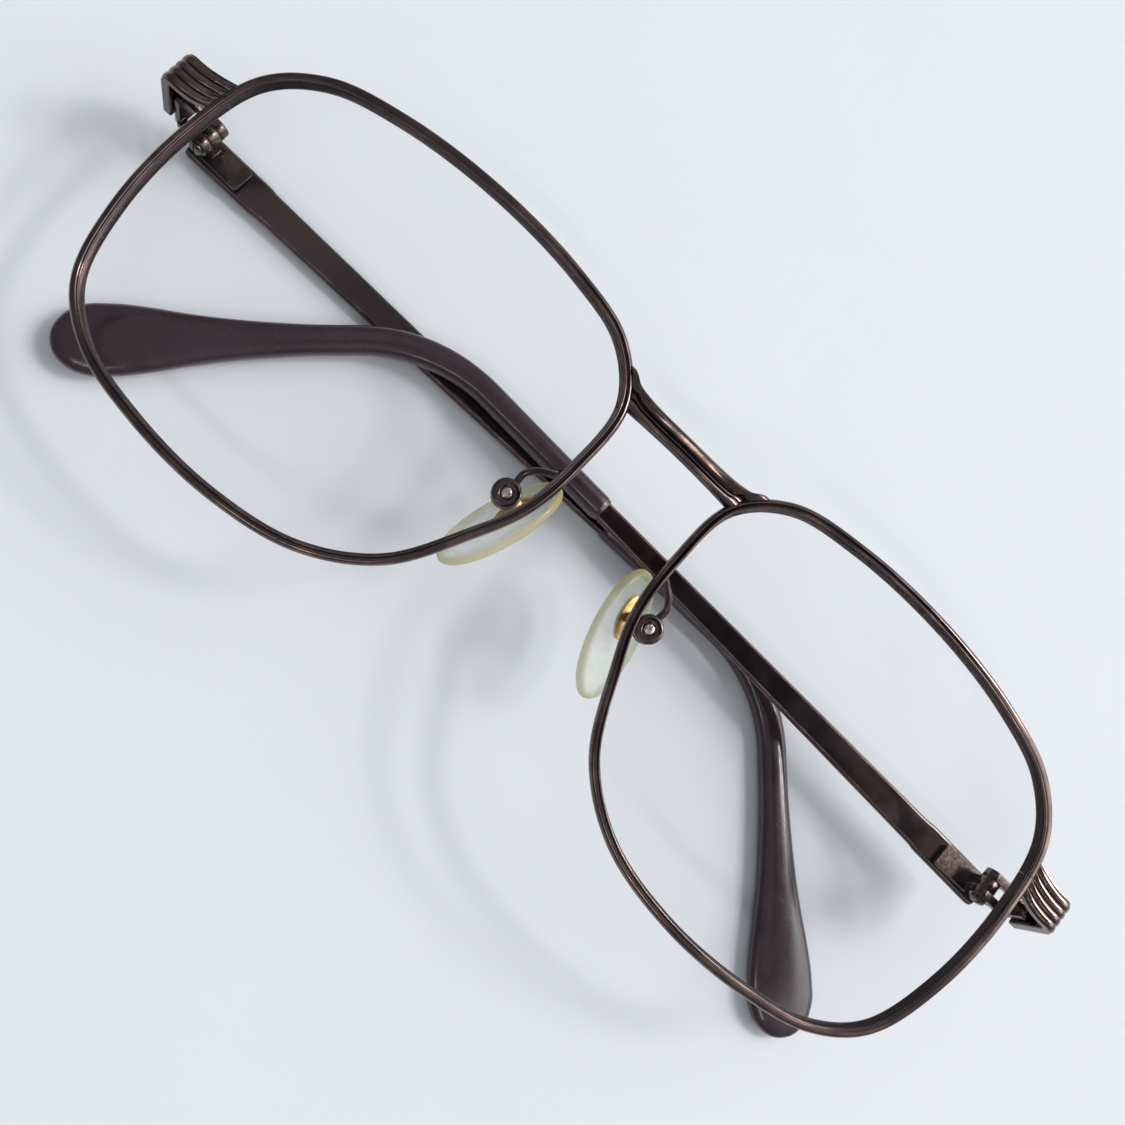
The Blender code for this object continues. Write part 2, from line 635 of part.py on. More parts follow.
def build_pad_mount(name, side, parent):
    """The arm from the rim and the box at its end, with the screw that the pad rocks on."""
    rings = []
    route = [Vector(p) for p in PAD_ARM_ROUTE]
    for k, point in enumerate(route):
        ahead = route[min(k + 1, len(route) - 1)] - route[max(k - 1, 0)]
        if k == 0:
            ahead = Vector((0.0, 0.0, -1.0))
        if k == len(route) - 1:
            ahead = Vector((0.0, -1.0, 0.0))
        turn = ahead.to_track_quat("Z", "X")
        rings.append([
            point + turn @ Vector((a, b, 0.0)) for a, b in circle(PAD_ARM_RADIUS, PAD_ARM_STEPS)
        ])
    add_object(name + "_pad_arm", *mirrored(loft(rings), side), GUNMETAL, parent)

    x, y, z = PAD_SCREW_CENTRE
    ends = [(PAD_BOX_BACK, PAD_BOX_RADIUS), (PAD_BOX_FRONT, PAD_BOX_RADIUS)]
    drum = stepped_shaft(ends, PAD_BOX_STEPS, PAD_SCREW_CENTRE, 2)
    pad_box = add_object(name + "_pad_box", *mirrored(drum, side), GUNMETAL, parent)
    slot = LUG_HALF_THICKNESS + LUG_CLEARANCE
    reach = 2 * PAD_BOX_RADIUS
    mouth = box((x - reach, y - reach, z - slot), (x + PAD_BOX_WALL, y + reach, z + slot))
    combine(pad_box, "DIFFERENCE", mirrored(mouth, side))
    through = [(-reach, PAD_BORE_RADIUS), (reach, PAD_BORE_RADIUS)]
    bore = stepped_shaft(through, PAD_SCREW_STEPS, PAD_SCREW_CENTRE, 2)
    combine(pad_box, "DIFFERENCE", mirrored(bore, side))

    head = PAD_BOX_FRONT + HEAD_GAP
    profile = [
        (PAD_BOX_BACK, PAD_SHAFT_RADIUS), (head, PAD_SHAFT_RADIUS), (head, PAD_HEAD_RADIUS),
        (head + PAD_HEAD_HEIGHT / 2, PAD_HEAD_RADIUS),
        (head + PAD_HEAD_HEIGHT, PAD_HEAD_RADIUS - HEAD_CHAMFER),
    ]
    screw = stepped_shaft(profile, PAD_SCREW_STEPS, PAD_SCREW_CENTRE, 2)
    add_object(name + "_pad_screw", *mirrored(screw, side), SCREW_STEEL, parent)


def pad_axes(name):
    """From the pad's pivot: its centre, its long and width directions and where its box side faces."""
    lengthwise = Vector((-math.sin(PAD_CANT), math.cos(PAD_CANT), 0.0))
    sideways = Vector((math.cos(PAD_CANT), math.sin(PAD_CANT), 0.0))
    splay = PAD_SPLAY[name]
    facing = sideways * math.sin(splay) + Vector((0.0, 0.0, math.cos(splay)))
    centre = Vector(PAD_CENTRE) - Vector(PAD_SCREW_CENTRE)
    return centre, lengthwise, lengthwise.cross(facing), facing


def oval_ring(axes, rise, half_length, half_width, height, steps):
    centre, lengthwise, across, facing = axes
    ring = []
    for k in range(steps):
        a = math.tau * k / steps
        ring.append(
            centre + lengthwise * (rise + half_length * math.cos(a))
            + across * (half_width * math.sin(a)) + facing * height
        )
    return ring


def build_pad(name, side, parent):
    """The pad, with a shallow pocket on its box side for the core, and the core with its lug."""
    axes = pad_axes(name)
    long_half, wide_half, thick = PAD_HALF_LENGTH, PAD_HALF_WIDTH, PAD_THICKNESS
    pocket = (CORE_HALF_LENGTH + CORE_FIT, CORE_HALF_WIDTH + CORE_FIT)
    floor = thick / 2 - CORE_THICKNESS - CORE_FIT
    sizes = [
        (CORE_RISE, *pocket, floor),
        (CORE_RISE, *pocket, thick / 2),
        (0.0, long_half - 0.5, wide_half - 0.5, thick / 2),
        (0.0, long_half - 0.1, wide_half - 0.1, thick / 4),
        (0.0, long_half, wide_half, -thick / 8),
        (0.0, long_half - 0.5, wide_half - 0.5, -thick / 2),
        (0.0, 0.4 * long_half, 0.4 * wide_half, -thick / 2 - 0.25),
    ]
    rings = [oval_ring(axes, *size, PAD_STEPS) for size in sizes]
    add_object(name + "_nose_pad", *mirrored(loft(rings), side), PAD_SILICONE, parent)

    oval = (CORE_RISE, CORE_HALF_LENGTH, CORE_HALF_WIDTH)
    rings = [
        oval_ring(axes, *oval, thick / 2 - CORE_THICKNESS, PAD_STEPS),
        oval_ring(axes, *oval, thick / 2, PAD_STEPS),
    ]
    core = add_object(name + "_pad_core", *mirrored(loft(rings), side), CORE_BRASS, parent)
    centre, lengthwise, _, facing = axes
    foot = centre + lengthwise * CORE_RISE + facing * (thick / 2 - CORE_THICKNESS / 2)
    half = LUG_HALF_THICKNESS
    edges = ((-NECK_HALF_WIDTH, -half), (NECK_HALF_WIDTH, -half), (NECK_HALF_WIDTH, half),
             (-NECK_HALF_WIDTH, half))
    neck = [
        [(NECK_START, a, b) for a, b in edges],
        [(-NECK_REACH, a, b) for a, b in edges],
        [(-NECK_REACH - NECK_BEND[0] - b, a, b - NECK_BEND[1]) for a, b in edges],
        [(foot.x - b, foot.y + a, foot.z) for a, b in edges],
    ]
    combine(core, "UNION", mirrored(loft(neck), side))
    eye = stepped_shaft([(-half, LUG_RADIUS), (half, LUG_RADIUS)], PAD_BOX_STEPS, (0, 0, 0), 2)
    combine(core, "UNION", mirrored(eye, side))
    through = [(-LUG_RADIUS, PAD_BORE_RADIUS), (LUG_RADIUS, PAD_BORE_RADIUS)]
    bore = stepped_shaft(through, PAD_SCREW_STEPS, (0, 0, 0), 2)
    combine(core, "DIFFERENCE", mirrored(bore, side))


def hinge_matrix(name, side, roll):
    """The temple's frame at rest: x along the folded temple, z away from the outside of the head."""
    slope = roll - side * TEMPLE_SLOPE[name]
    turn = Matrix.Rotation(slope, 3, "Y") @ Matrix.Diagonal((-side, 1.0, 1.0))
    return place(side * HINGE_X, 0.0, 0.0, turn)


def stand_on_floor(assembly):
    """Moves the assembly so that it stands on the floor with its box centred on the origin."""
    bpy.context.view_layer.update()
    graph = bpy.context.evaluated_depsgraph_get()
    corners = []
    for item in bpy.context.scene.objects:
        if item.type == "MESH" and not item.hide_render:
            solid = item.evaluated_get(graph)
            corners += [solid.matrix_world @ vertex.co for vertex in solid.data.vertices]
    low = Vector([min(c[k] for c in corners) for k in range(3)])
    high = Vector([max(c[k] for c in corners) for k in range(3)])
    middle = (low + high) / 2
    assembly.location = (-middle.x, -middle.y, -low.z)


def main():
    clear_scene()
    assembly = empty("assembly", None, Matrix.Identity(4))
    rise = LEFT_HINGE_HEIGHT - RIGHT_HINGE_HEIGHT
    roll = math.asin(rise / (2 * HINGE_X))
    middle_height = (LEFT_HINGE_HEIGHT + RIGHT_HINGE_HEIGHT) / 2
    hinge_frame = empty(
        "hinge_frame", assembly, place(0, 0, middle_height, Matrix.Rotation(-roll, 3, "Y"))
    )
    lean = Matrix.Rotation(PANTOSCOPIC_TILT, 3, "X")
    front_frame = empty(
        "front_frame", hinge_frame, place(*(lean @ Vector((0, -HINGE_Y, HINGE_DEPTH))), lean)
    )
    frames = rim_frames()
    build_bridge(front_frame)
    for name, side in SIDES.items():
        build_eyewire(name, side, frames, front_frame)
        build_lens(name, side, frames, front_frame)
        build_closing_block(name, side, front_frame)
        build_end_piece(name, side, hinge_frame)
        build_pad_mount(name, side, front_frame)
        x, y, z = PAD_SCREW_CENTRE
        pad_pivot = empty(name + "_pad_pivot", front_frame, place(side * x, y, z))
        build_pad(name, side, pad_pivot)
        hinge = empty(name + "_hinge", hinge_frame, place(side * HINGE_X, 0.0, 0.0))
        build_front_hinge(name, side, hinge)
        temple = empty(name + "_temple", hinge_frame, hinge_matrix(name, side, roll))
        knuckle = [(-KNUCKLE_HALF_GAP, KNUCKLE_HALF_GAP)]
        hinge_leaf(name + "_hinge_temple_leaf", 1, knuckle, temple, Matrix.Identity(3))
        build_bar(name, temple)
        build_tip(name, temple)
    stand_on_floor(assembly)


main()
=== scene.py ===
"""Looks for the folded metal eyeglasses: smooth pieces, materials, floor, light and camera.

Shapes are written in millimetres in three frames, as the CAD has them:
- the front frame: the plane of the lenses, x towards the wearer's left, y up, z forward;
- the hinge frame: x as above, y up along both hinge axes, z forward;
- a temple frame at each hinge: x along the temple, y up, z towards the inside of the head.
"""

import json
import math

import bmesh
import bpy
from mathutils import Matrix, Vector

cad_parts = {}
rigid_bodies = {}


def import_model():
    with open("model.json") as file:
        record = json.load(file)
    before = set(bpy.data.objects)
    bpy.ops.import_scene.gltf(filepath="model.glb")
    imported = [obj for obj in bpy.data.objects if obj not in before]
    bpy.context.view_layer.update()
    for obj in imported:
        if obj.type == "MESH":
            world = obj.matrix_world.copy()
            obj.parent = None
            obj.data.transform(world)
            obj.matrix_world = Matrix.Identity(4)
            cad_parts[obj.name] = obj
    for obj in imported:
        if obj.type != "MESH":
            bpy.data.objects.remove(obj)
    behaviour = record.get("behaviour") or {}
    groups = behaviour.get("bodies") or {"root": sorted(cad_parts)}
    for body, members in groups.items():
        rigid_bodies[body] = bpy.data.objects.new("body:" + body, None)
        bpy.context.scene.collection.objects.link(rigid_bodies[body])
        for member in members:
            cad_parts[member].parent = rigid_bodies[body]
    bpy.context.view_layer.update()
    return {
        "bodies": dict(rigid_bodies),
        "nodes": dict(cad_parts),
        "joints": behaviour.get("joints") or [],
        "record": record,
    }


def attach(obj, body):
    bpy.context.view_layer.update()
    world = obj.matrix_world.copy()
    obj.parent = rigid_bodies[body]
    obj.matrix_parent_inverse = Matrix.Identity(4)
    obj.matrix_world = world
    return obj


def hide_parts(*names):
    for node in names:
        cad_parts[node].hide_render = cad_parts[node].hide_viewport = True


MM = 0.001
SIDES = {"right": -1, "left": 1}
ORIGIN = (0.0, 0.0, 0.0)
X, Y, Z = range(3)

# Frames, as in the CAD
HINGE_X = 62.5
HINGE_Y = 6.95
HINGE_DEPTH = 13.5
PANTOSCOPIC_TILT = math.radians(7)
TEMPLE_SLOPE = {"right": 0.0, "left": math.radians(2.7)}
BAR_RISE = math.radians(1.6)

# Eyewires and lenses
LENS_CENTRE_X = 35.1
BASE_CURVE_RADIUS = 120.0
FACE_FORM_SLOPE = 0.05
EYEWIRE_STEPS = 300
POINTS_PER_KNOT = 24
EYEWIRE_OUTLINE = [
    (7.4, 6.5), (8.2, 15.0), (13.2, 20.0), (21.6, 21.8), (34.4, 22.1), (46.4, 20.7),
    (54.6, 18.2), (59.7, 13.2), (61.3, 4.0), (60.7, -7.0), (58.0, -15.4), (52.5, -19.7),
    (44.0, -21.7), (33.0, -22.1), (22.7, -20.0), (15.2, -14.8), (10.5, -6.5), (8.1, -0.6),
]
# Front half of the wire's section: outward, forward, and how bare the plating is worn there
EYEWIRE_HALF_SECTION = [
    (0.66, 0.0, 0.3), (0.65, 0.2, 0.35), (0.62, 0.4, 0.45), (0.55, 0.6, 0.6), (0.43, 0.77, 0.75),
    (0.28, 0.9, 0.8), (0.13, 0.945, 0.6), (-0.06, 0.912, 0.5), (-0.22, 0.878, 0.4),
    (-0.27, 0.79, 0.0), (-0.3, 0.775, 0.0), (-0.36, 0.84, 0.3), (-0.44, 0.855, 0.8),
    (-0.52, 0.81, 0.6), (-0.575, 0.72, 0.3), (-0.56, 0.6, 0.0),
]
EYEWIRE_GROOVE = (-0.18, 0.0, 0.0)
EYEWIRE_BACK_WEAR = 0.6
EYEWIRE_HALF_WIDTH = 0.66
SPLIT_Y = 9.1
SPLIT_GAP = 0.08
LENS_BEVEL_INSET = 0.32
LENS_EDGE_INSET = 0.9
LENS_HALF_THICKNESS = 0.75
LENS_SHARES = (0.08, 0.3, 0.5, 0.7, 0.88, 1.0)
FRAMES_PER_LENS_POINT = 3

# Bridge: share of the half height, forward of its centre, wear
BRIDGE_SECTION = [
    (1.0, 0.0, 0.3), (0.93, 0.5, 0.7), (0.72, 0.87, 0.9), (0.6, 0.875, 0.9), (0.48, 0.82, 0.9),
    (0.36, 0.765, 0.9), (0.24, 0.71, 1.0), (0.05, 0.42, 0.1),
    (-0.1, 0.14, 0.0), (-0.26, 0.2, 0.0), (-0.44, 0.55, 0.6), (-0.62, 0.66, 1.0),
    (-0.8, 0.58, 0.7), (-0.97, 0.16, 0.2), (-0.96, -0.42, 0.0), (-0.7, -0.74, 0.0),
    (0.0, -0.75, 0.0), (0.7, -0.74, 0.0), (0.96, -0.42, 0.0),
]
BRIDGE_MIDDLE_Y = 16.05
BRIDGE_MIDDLE_HALF_HEIGHT = 1.3
BRIDGE_END_RISE = 0.8
BRIDGE_END_FLARE = 0.8
BRIDGE_MIDDLE_Z = -1.5
BRIDGE_END_SETBACK = 0.9
BRIDGE_SINK = 0.2
BRIDGE_SWELL = 0.2
BRIDGE_SWELL_PLACE = 0.9
BRIDGE_SWELL_WIDTH = 0.07
BRIDGE_STEPS = 72

# End pieces
BAND_HALF_HEIGHT = 2.05
BAND_THICKNESS = 1.0
BAND_OUTER_X = 4.75
BAND_START_X = 61.35
BAND_START_SETBACK = 0.15
BAND_START_SLANT = 0.19
BAND_FRONT_Z = 10.1
BAND_CORNER_RADIUS = 1.5
BAND_END_Z = 1.85
BAND_RIM_RISE = 0.95
BAND_FRONT_STEPS = 14
BAND_CORNER_STEPS = 12
BAND_SIDE_STEPS = 6
BAND_LAST_RIDGE = 0.6
# Back of the band: share of the half height, share of the thickness, wear
BAND_BACK = [
    (1.0, 0.25, 0.2), (1.0, 0.85, 0.6), (0.96, 0.96, 0.6), (0.92, 1.0, 0.0),
    (-0.92, 1.0, 0.0), (-0.96, 0.96, 0.6), (-1.0, 0.85, 0.6), (-1.0, 0.25, 0.2),
]
RIDGE_COUNT = 4
RIDGE_HEIGHT = 0.22
RIDGE_SPAN = 0.94
RIDGE_STEPS = 8

# Hinges
KNUCKLE_RADIUS = 1.25
KNUCKLE_HALF_GAP = 0.7
KNUCKLE_CLEARANCE = 0.06
KNUCKLE_TOP = 1.85
KNUCKLE_STEPS = 30
LEAF_NEAR = 2.85
LEAF_FAR = 3.62
LEAF_LENGTH = 5.6
LEAF_HALF_HEIGHT = 1.55
LEAF_END = 0.3
LEAF_CHAMFER = 0.35
WEB_SINK = 0.2
WEB_SHOULDER = 0.3
HINGE_SHAFT_RADIUS = 0.55
HINGE_HEAD_RADIUS = 0.98
HINGE_HEAD_HEIGHT = 0.55
HINGE_BORE_RADIUS = 0.62
HEAD_GAP = 0.03
BORE_STEPS = 32
SCREW_STEPS = 40

# Closing blocks
BLOCK_X = (61.85, 64.25)
BLOCK_Z = (-7.1, -4.95)
BLOCK_HALF_HEIGHT = 1.75
CLOSING_HEAD_RADIUS = 0.85
CLOSING_HEAD_HEIGHT = 0.5
CLOSING_SHAFT_RADIUS = 0.5
CLOSING_BORE_RADIUS = 0.56

# Nose pads
PAD_CENTRE = Vector((8.95, -2.5, -9.8))
PAD_CANT = math.radians(16)
PAD_SPLAY = {"right": math.radians(48), "left": math.radians(36)}
PAD_HALF_LENGTH = 8.0
PAD_HALF_WIDTH = 3.75
PAD_THICKNESS = 1.5
CORE_RISE = 2.2
CORE_HALF_LENGTH = 2.7
CORE_HALF_WIDTH = 1.35
CORE_THICKNESS = 0.5
PAD_SCREW_CENTRE = Vector((10.75, -0.25, -6.0))
PAD_BOX_RADIUS = 1.7
PAD_BOX_FRONT = 1.0
PAD_BOX_BACK = -0.78
PAD_BOX_WALL = 0.95
PAD_SLOT_HALF = 0.32
PAD_BORE_RADIUS = 0.42
PAD_SHAFT_RADIUS = 0.36
PAD_HEAD_RADIUS = 0.6
PAD_STEPS = 56
CORE_STEPS = 48
LUG_RADIUS = 0.85
LUG_HALF_THICKNESS = 0.25
NECK_HALF_WIDTH = 0.52
PAD_ARM_RADIUS = 0.42
PAD_ARM_FILLET = 0.3
PAD_ARM_ROUTE = [
    (7.6, 5.0, -2.97), (7.75, 4.95, -3.7), (8.6, 4.6, -4.6), (10.0, 3.8, -5.3),
    (10.8, 2.7, -5.75), (10.82, 1.52, -5.95),
]

# Temples
TEMPLE_START = -1.7
TRIM_END = 8.0
BEND_START = 82.6
BEND_RADIUS = 20.0
BEND_ANGLE = math.radians(48)
BAR_INNER = 3.74
BAR_OUTER = 4.75
BAR_END = 64.2
# Stepped edge of the bar's inner face: inset from the edge, depth of the step, wear
BAR_EDGE = [
    (0.0, 0.42, 0.5), (0.03, 0.36, 1.0), (0.07, 0.33, 0.9), (0.16, 0.3, 0.0), (0.2, 0.22, 0.0),
    (0.22, 0.08, 0.7), (0.27, 0.02, 1.0), (0.33, 0.0, 0.4), (0.45, 0.0, 0.0),
]
BAR_CROWN_WEAR = 0.25
SLEEVE_MIDDLE = 4.2
# Distance along the temple, half height
BAR_HALF_HEIGHTS = [
    (-1.7, 1.9), (-1.2, 2.05), (8.0, 2.03), (8.3, 1.99), (8.6, 1.93), (8.9, 1.9), (20.0, 1.78),
    (29.0, 1.68), (45.0, 1.5), (63.6, 1.3),
]
# Distance along the temple, half height, half thickness
TIP_SIZES = [
    (63.5, 1.1, 0.95), (63.52, 1.36, 1.2), (63.6, 1.42, 1.28), (63.85, 1.45, 1.3),
    (63.95, 1.5, 1.36), (64.15, 1.55, 1.4), (72.0, 1.55, 1.38), (82.6, 1.58, 1.3),
    (91.0, 1.7, 1.28), (99.4, 1.77, 1.3), (104.5, 1.82, 1.36), (109.0, 2.04, 1.4),
    (113.5, 2.4, 1.4), (118.0, 2.95, 1.4), (122.3, 3.68, 1.4), (126.0, 4.12, 1.4),
    (128.5, 4.18, 1.38), (130.8, 3.6, 1.22), (132.4, 2.3, 0.9), (133.0, 1.3, 0.6),
    (133.2, 0.5, 0.25),
]
TIP_SQUARENESS = 2.6
TIP_PLAIN_START = 64.15
TIP_STEP = 0.9
TIP_POINTS = 48

# Camera, in the front frame
CAMERA_POINT = Vector((-11.19, -24.16, 141.59))
CAMERA_RIGHT = Vector((0.7206, 0.6761, 0.1534))
CAMERA_VIEW = Vector((0.0673, 0.152, -0.9861))
CAMERA_LENS = 43.894

# Room: the side its walls are brightest on, and an oval dark patch overhead, whose ramp has
# its stop of 0.5 where the patch is PATCH_WIDTH and PATCH_DEPTH from its middle
ROOM_STRENGTH = 0.59
ROOM_BRIGHT_SIDE = (0.56, 0.52, 0.64)
ROOM_WALLS = [
    (0.1, (0.4, 0.42, 0.45)), (0.45, (0.52, 0.54, 0.57)), (0.7, (0.8, 0.82, 0.85)),
    (0.84, (1.3, 1.32, 1.35)), (0.93, (5.4, 5.45, 5.5)),
]
PATCH_X = 0.2
PATCH_Y = 0.24
PATCH_WIDTH = 0.245
PATCH_DEPTH = 0.17
ROOM_PATCH = [
    (0.4, (0.02, 0.019, 0.024)), (0.5, (0.1, 0.095, 0.1)), (0.6, (0.5, 0.48, 0.47)),
    (0.72, (1.0, 1.0, 1.0)),
]
FLOOR_HALF = 5.0

# Lamps: name, direction, long axis, distance, size and watts
LAMP_COLOUR = (1.0, 0.98, 0.95)
LAMPS = [
    ("tube_near", (0.4, 0.44, 0.8), (-0.7, 0.71, 0.1), 1.1, (0.2, 0.11), 1.9),
    ("tube_far", (0.53, 0.51, 0.68), (-0.7, 0.71, 0.1), 1.2, (0.2, 0.11), 2.1),
    ("tube_low_0", (-0.17, -0.5, 0.865), (1.0, 0.0, 0.0), 1.1, (0.15, 0.08), 0.33),
    ("tube_low_1", (0.03, -0.5, 0.865), (1.0, 0.0, 0.0), 1.1, (0.15, 0.08), 0.33),
    ("tube_low_2", (0.23, -0.5, 0.865), (1.0, 0.0, 0.0), 1.1, (0.15, 0.08), 0.33),
]


# ---- frames

def shift(x, y, z):
    return Matrix.Translation((x, y, z))


def read_frames(frame):
    """The frames' matrices, from millimetres in each to metres in the model's own."""
    joints = {joint["name"]: joint for joint in frame["joints"]}
    right = Vector(joints["right_temple_fold"]["pos_m"])
    left = Vector(joints["left_temple_fold"]["pos_m"])
    across = (left - right).normalized()
    up = Vector((0.0, 1.0, 0.0))
    forward = across.cross(up).normalized()
    turn = Matrix((across, up, forward)).transposed().to_4x4()
    hinge = Matrix.Translation((left + right) / 2) @ turn @ Matrix.Scale(MM, 4)
    lean = Matrix.Rotation(PANTOSCOPIC_TILT, 4, "X")
    frames = {"hinge": hinge, "front": hinge @ lean @ shift(0.0, -HINGE_Y, HINGE_DEPTH)}
    roll = math.atan2(across.z, across.x)
    for name, side in SIDES.items():
        slope = roll - side * TEMPLE_SLOPE[name]
        turn = Matrix.Rotation(slope, 4, "Y") @ Matrix.Diagonal((-side, 1.0, 1.0, 1.0))
        frames[name + "_temple"] = hinge @ shift(side * HINGE_X, 0.0, 0.0) @ turn
        frames[name + "_hinge"] = hinge @ shift(side * HINGE_X, 0.0, 0.0)
        place = (side * PAD_SCREW_CENTRE.x, PAD_SCREW_CENTRE.y, PAD_SCREW_CENTRE.z)
        frames[name + "_pad"] = frames["front"] @ shift(*place)
    return frames


# ---- curves

def mix(a, b, start, end, t):
    return a + (b - a) * ((t - start) / (end - start))


def curve_point(span, times, t):
    first = [mix(span[k], span[k + 1], times[k], times[k + 1], t) for k in range(3)]
    second = [mix(first[k], first[k + 1], times[k], times[k + 2], t) for k in range(2)]
    return mix(second[0], second[1], times[1], times[2], t)


def smooth_span(span, steps):
    times = [0.0]
    for a, b in zip(span, span[1:]):
        times.append(times[-1] + math.sqrt((b - a).length))
    return [
        curve_point(span, times, times[1] + (times[2] - times[1]) * k / steps)
        for k in range(steps)
    ]


def smooth_loop(knots, steps):
    """A closed centripetal Catmull-Rom curve with the same number of points in each span."""
    count = len(knots)
    points = []
    for i in range(count):
        points += smooth_span([Vector(knots[(i + k) % count]) for k in (-1, 0, 1, 2)], steps)
    return points


def smooth_route(knots, steps):
    """An open Catmull-Rom curve through all its knots."""
    knots = [Vector(knot) for knot in knots]
    knots = [2 * knots[0] - knots[1]] + knots + [2 * knots[-1] - knots[-2]]
    points = []
    for i in range(len(knots) - 3):
        points += smooth_span(knots[i:i + 4], steps)
    return points + [knots[-2]]


def smooth_table(table, position):
    """Reads a table of (position, values...) with a smooth curve between its rows."""
    last = len(table) - 1
    i = 0
    while i < last - 1 and position > table[i + 1][0]:
        i += 1
    x0, x1 = table[i][0], table[i + 1][0]
    t = min(1.0, max(0.0, (position - x0) / (x1 - x0)))
    values = []
    for k in range(1, len(table[0])):
        slope = (table[i + 1][k] - table[i][k]) / (x1 - x0)
        before = after = slope
        if i > 0:
            before = (table[i][k] - table[i - 1][k]) / (x0 - table[i - 1][0])
        if i < last - 1:
            after = (table[i + 2][k] - table[i + 1][k]) / (table[i + 2][0] - x1)
        m0 = 0.0 if before * slope <= 0 else 2 * before * slope / (before + slope)
        m1 = 0.0 if after * slope <= 0 else 2 * after * slope / (after + slope)
        if i == 0:
            m0 = slope
        if i == last - 1:
            m1 = slope
        width = x1 - x0
        values.append(
            (2 * t ** 3 - 3 * t * t + 1) * table[i][k] + (t ** 3 - 2 * t * t + t) * width * m0
            + (3 * t * t - 2 * t ** 3) * table[i + 1][k] + (t ** 3 - t * t) * width * m1
        )
    return values


# ---- meshes

def loft(rings, close_ends=True):
    count = len(rings[0])
    points = [point for ring in rings for point in ring]
    faces = []
    for i in range(len(rings) - 1):
        for j in range(count):
            a, b = i * count + j, i * count + (j + 1) % count
            faces.append((a, b, b + count, a + count))
    if close_ends:
        faces.append(tuple(reversed(range(count))))
        faces.append(tuple(range(len(points) - count, len(points))))
    return points, faces


def added(name, data):
    made = bpy.data.objects.new(name, data)
    bpy.context.scene.collection.objects.link(made)
    return made


def new_object(name, matrix, shape, look, side=1, wear=None, sharp=40.0):
    """A mesh in the model's frame, in metres, from (points, faces) in millimetres in another."""
    points, faces = shape
    placed = [matrix @ Vector((side * p[0], p[1], p[2])) for p in points]
    mesh = bpy.data.meshes.new(name)
    mesh.from_pydata(placed, [], faces)
    if wear:
        layer = mesh.attributes.new("wear", "FLOAT", "POINT")
        layer.data.foreach_set("value", wear)
    shape_mesh = bmesh.new()
    shape_mesh.from_mesh(mesh)
    bmesh.ops.recalc_face_normals(shape_mesh, faces=shape_mesh.faces)
    shape_mesh.to_mesh(mesh)
    shape_mesh.free()
    mesh.shade_smooth()
    mesh.set_sharp_from_angle(angle=math.radians(sharp))
    mesh.materials.append(look)
    return added(name, mesh)


def combined(target, cutters, operation="DIFFERENCE"):
    """Cuts the target by other objects, or joins them to it, and removes them."""
    for cutter in cutters:
        modifier = target.modifiers.new("cut", "BOOLEAN")
        modifier.operation = operation
        modifier.solver = "EXACT"
        modifier.object = cutter
    settle(target)
    for cutter in cutters:
        bpy.data.objects.remove(cutter)


def settle(target, sharp=40.0):
    """Turns the object's modifiers into its mesh."""
    graph = bpy.context.evaluated_depsgraph_get()
    mesh = bpy.data.meshes.new_from_object(target.evaluated_get(graph))
    target.modifiers.clear()
    target.data = mesh
    mesh.shade_smooth()
    mesh.set_sharp_from_angle(angle=math.radians(sharp))


def soften(target, width, segments=2, angle=35.0):
    """Rounds the hard edges by a width in millimetres."""
    modifier = target.modifiers.new("soften", "BEVEL")
    modifier.width = width * MM
    modifier.segments = segments
    modifier.limit_method = "ANGLE"
    modifier.angle_limit = math.radians(angle)
    modifier.harden_normals = False
    settle(target, 60.0)


def turned(profile, steps, centre, along):
    """A turned solid: (position, radius) pairs along an axis through the centre."""
    across = [axis for axis in range(3) if axis != along]
    rings = []
    for position, radius in profile:
        ring = []
        for k in range(steps):
            a = math.tau * (k + 0.5) / steps
            point = list(centre)
            point[across[0]] += radius * math.cos(a)
            point[across[1]] += radius * math.sin(a)
            point[along] += position
            ring.append(point)
        rings.append(ring)
    return loft(rings)


def bore(matrix, look, side, centre, along, radius, reach):
    """A round cutter along an axis through the centre."""
    shape = turned([(-reach, radius), (reach, radius)], BORE_STEPS, centre, along)
    return new_object("cutter", matrix, shape, look, side)


def prism(outline, low, high, along):
    rings = []
    for level in (low, high):
        ring = [list(pair) for pair in outline]
        for point in ring:
            point.insert(along, level)
        rings.append(ring)
    return loft(rings)


def box(low, high):
    (x0, y0, z0), (x1, y1, z1) = low, high
    return prism([(x0, y0), (x1, y0), (x1, y1), (x0, y1)], z0, z1, Z)


# ---- materials

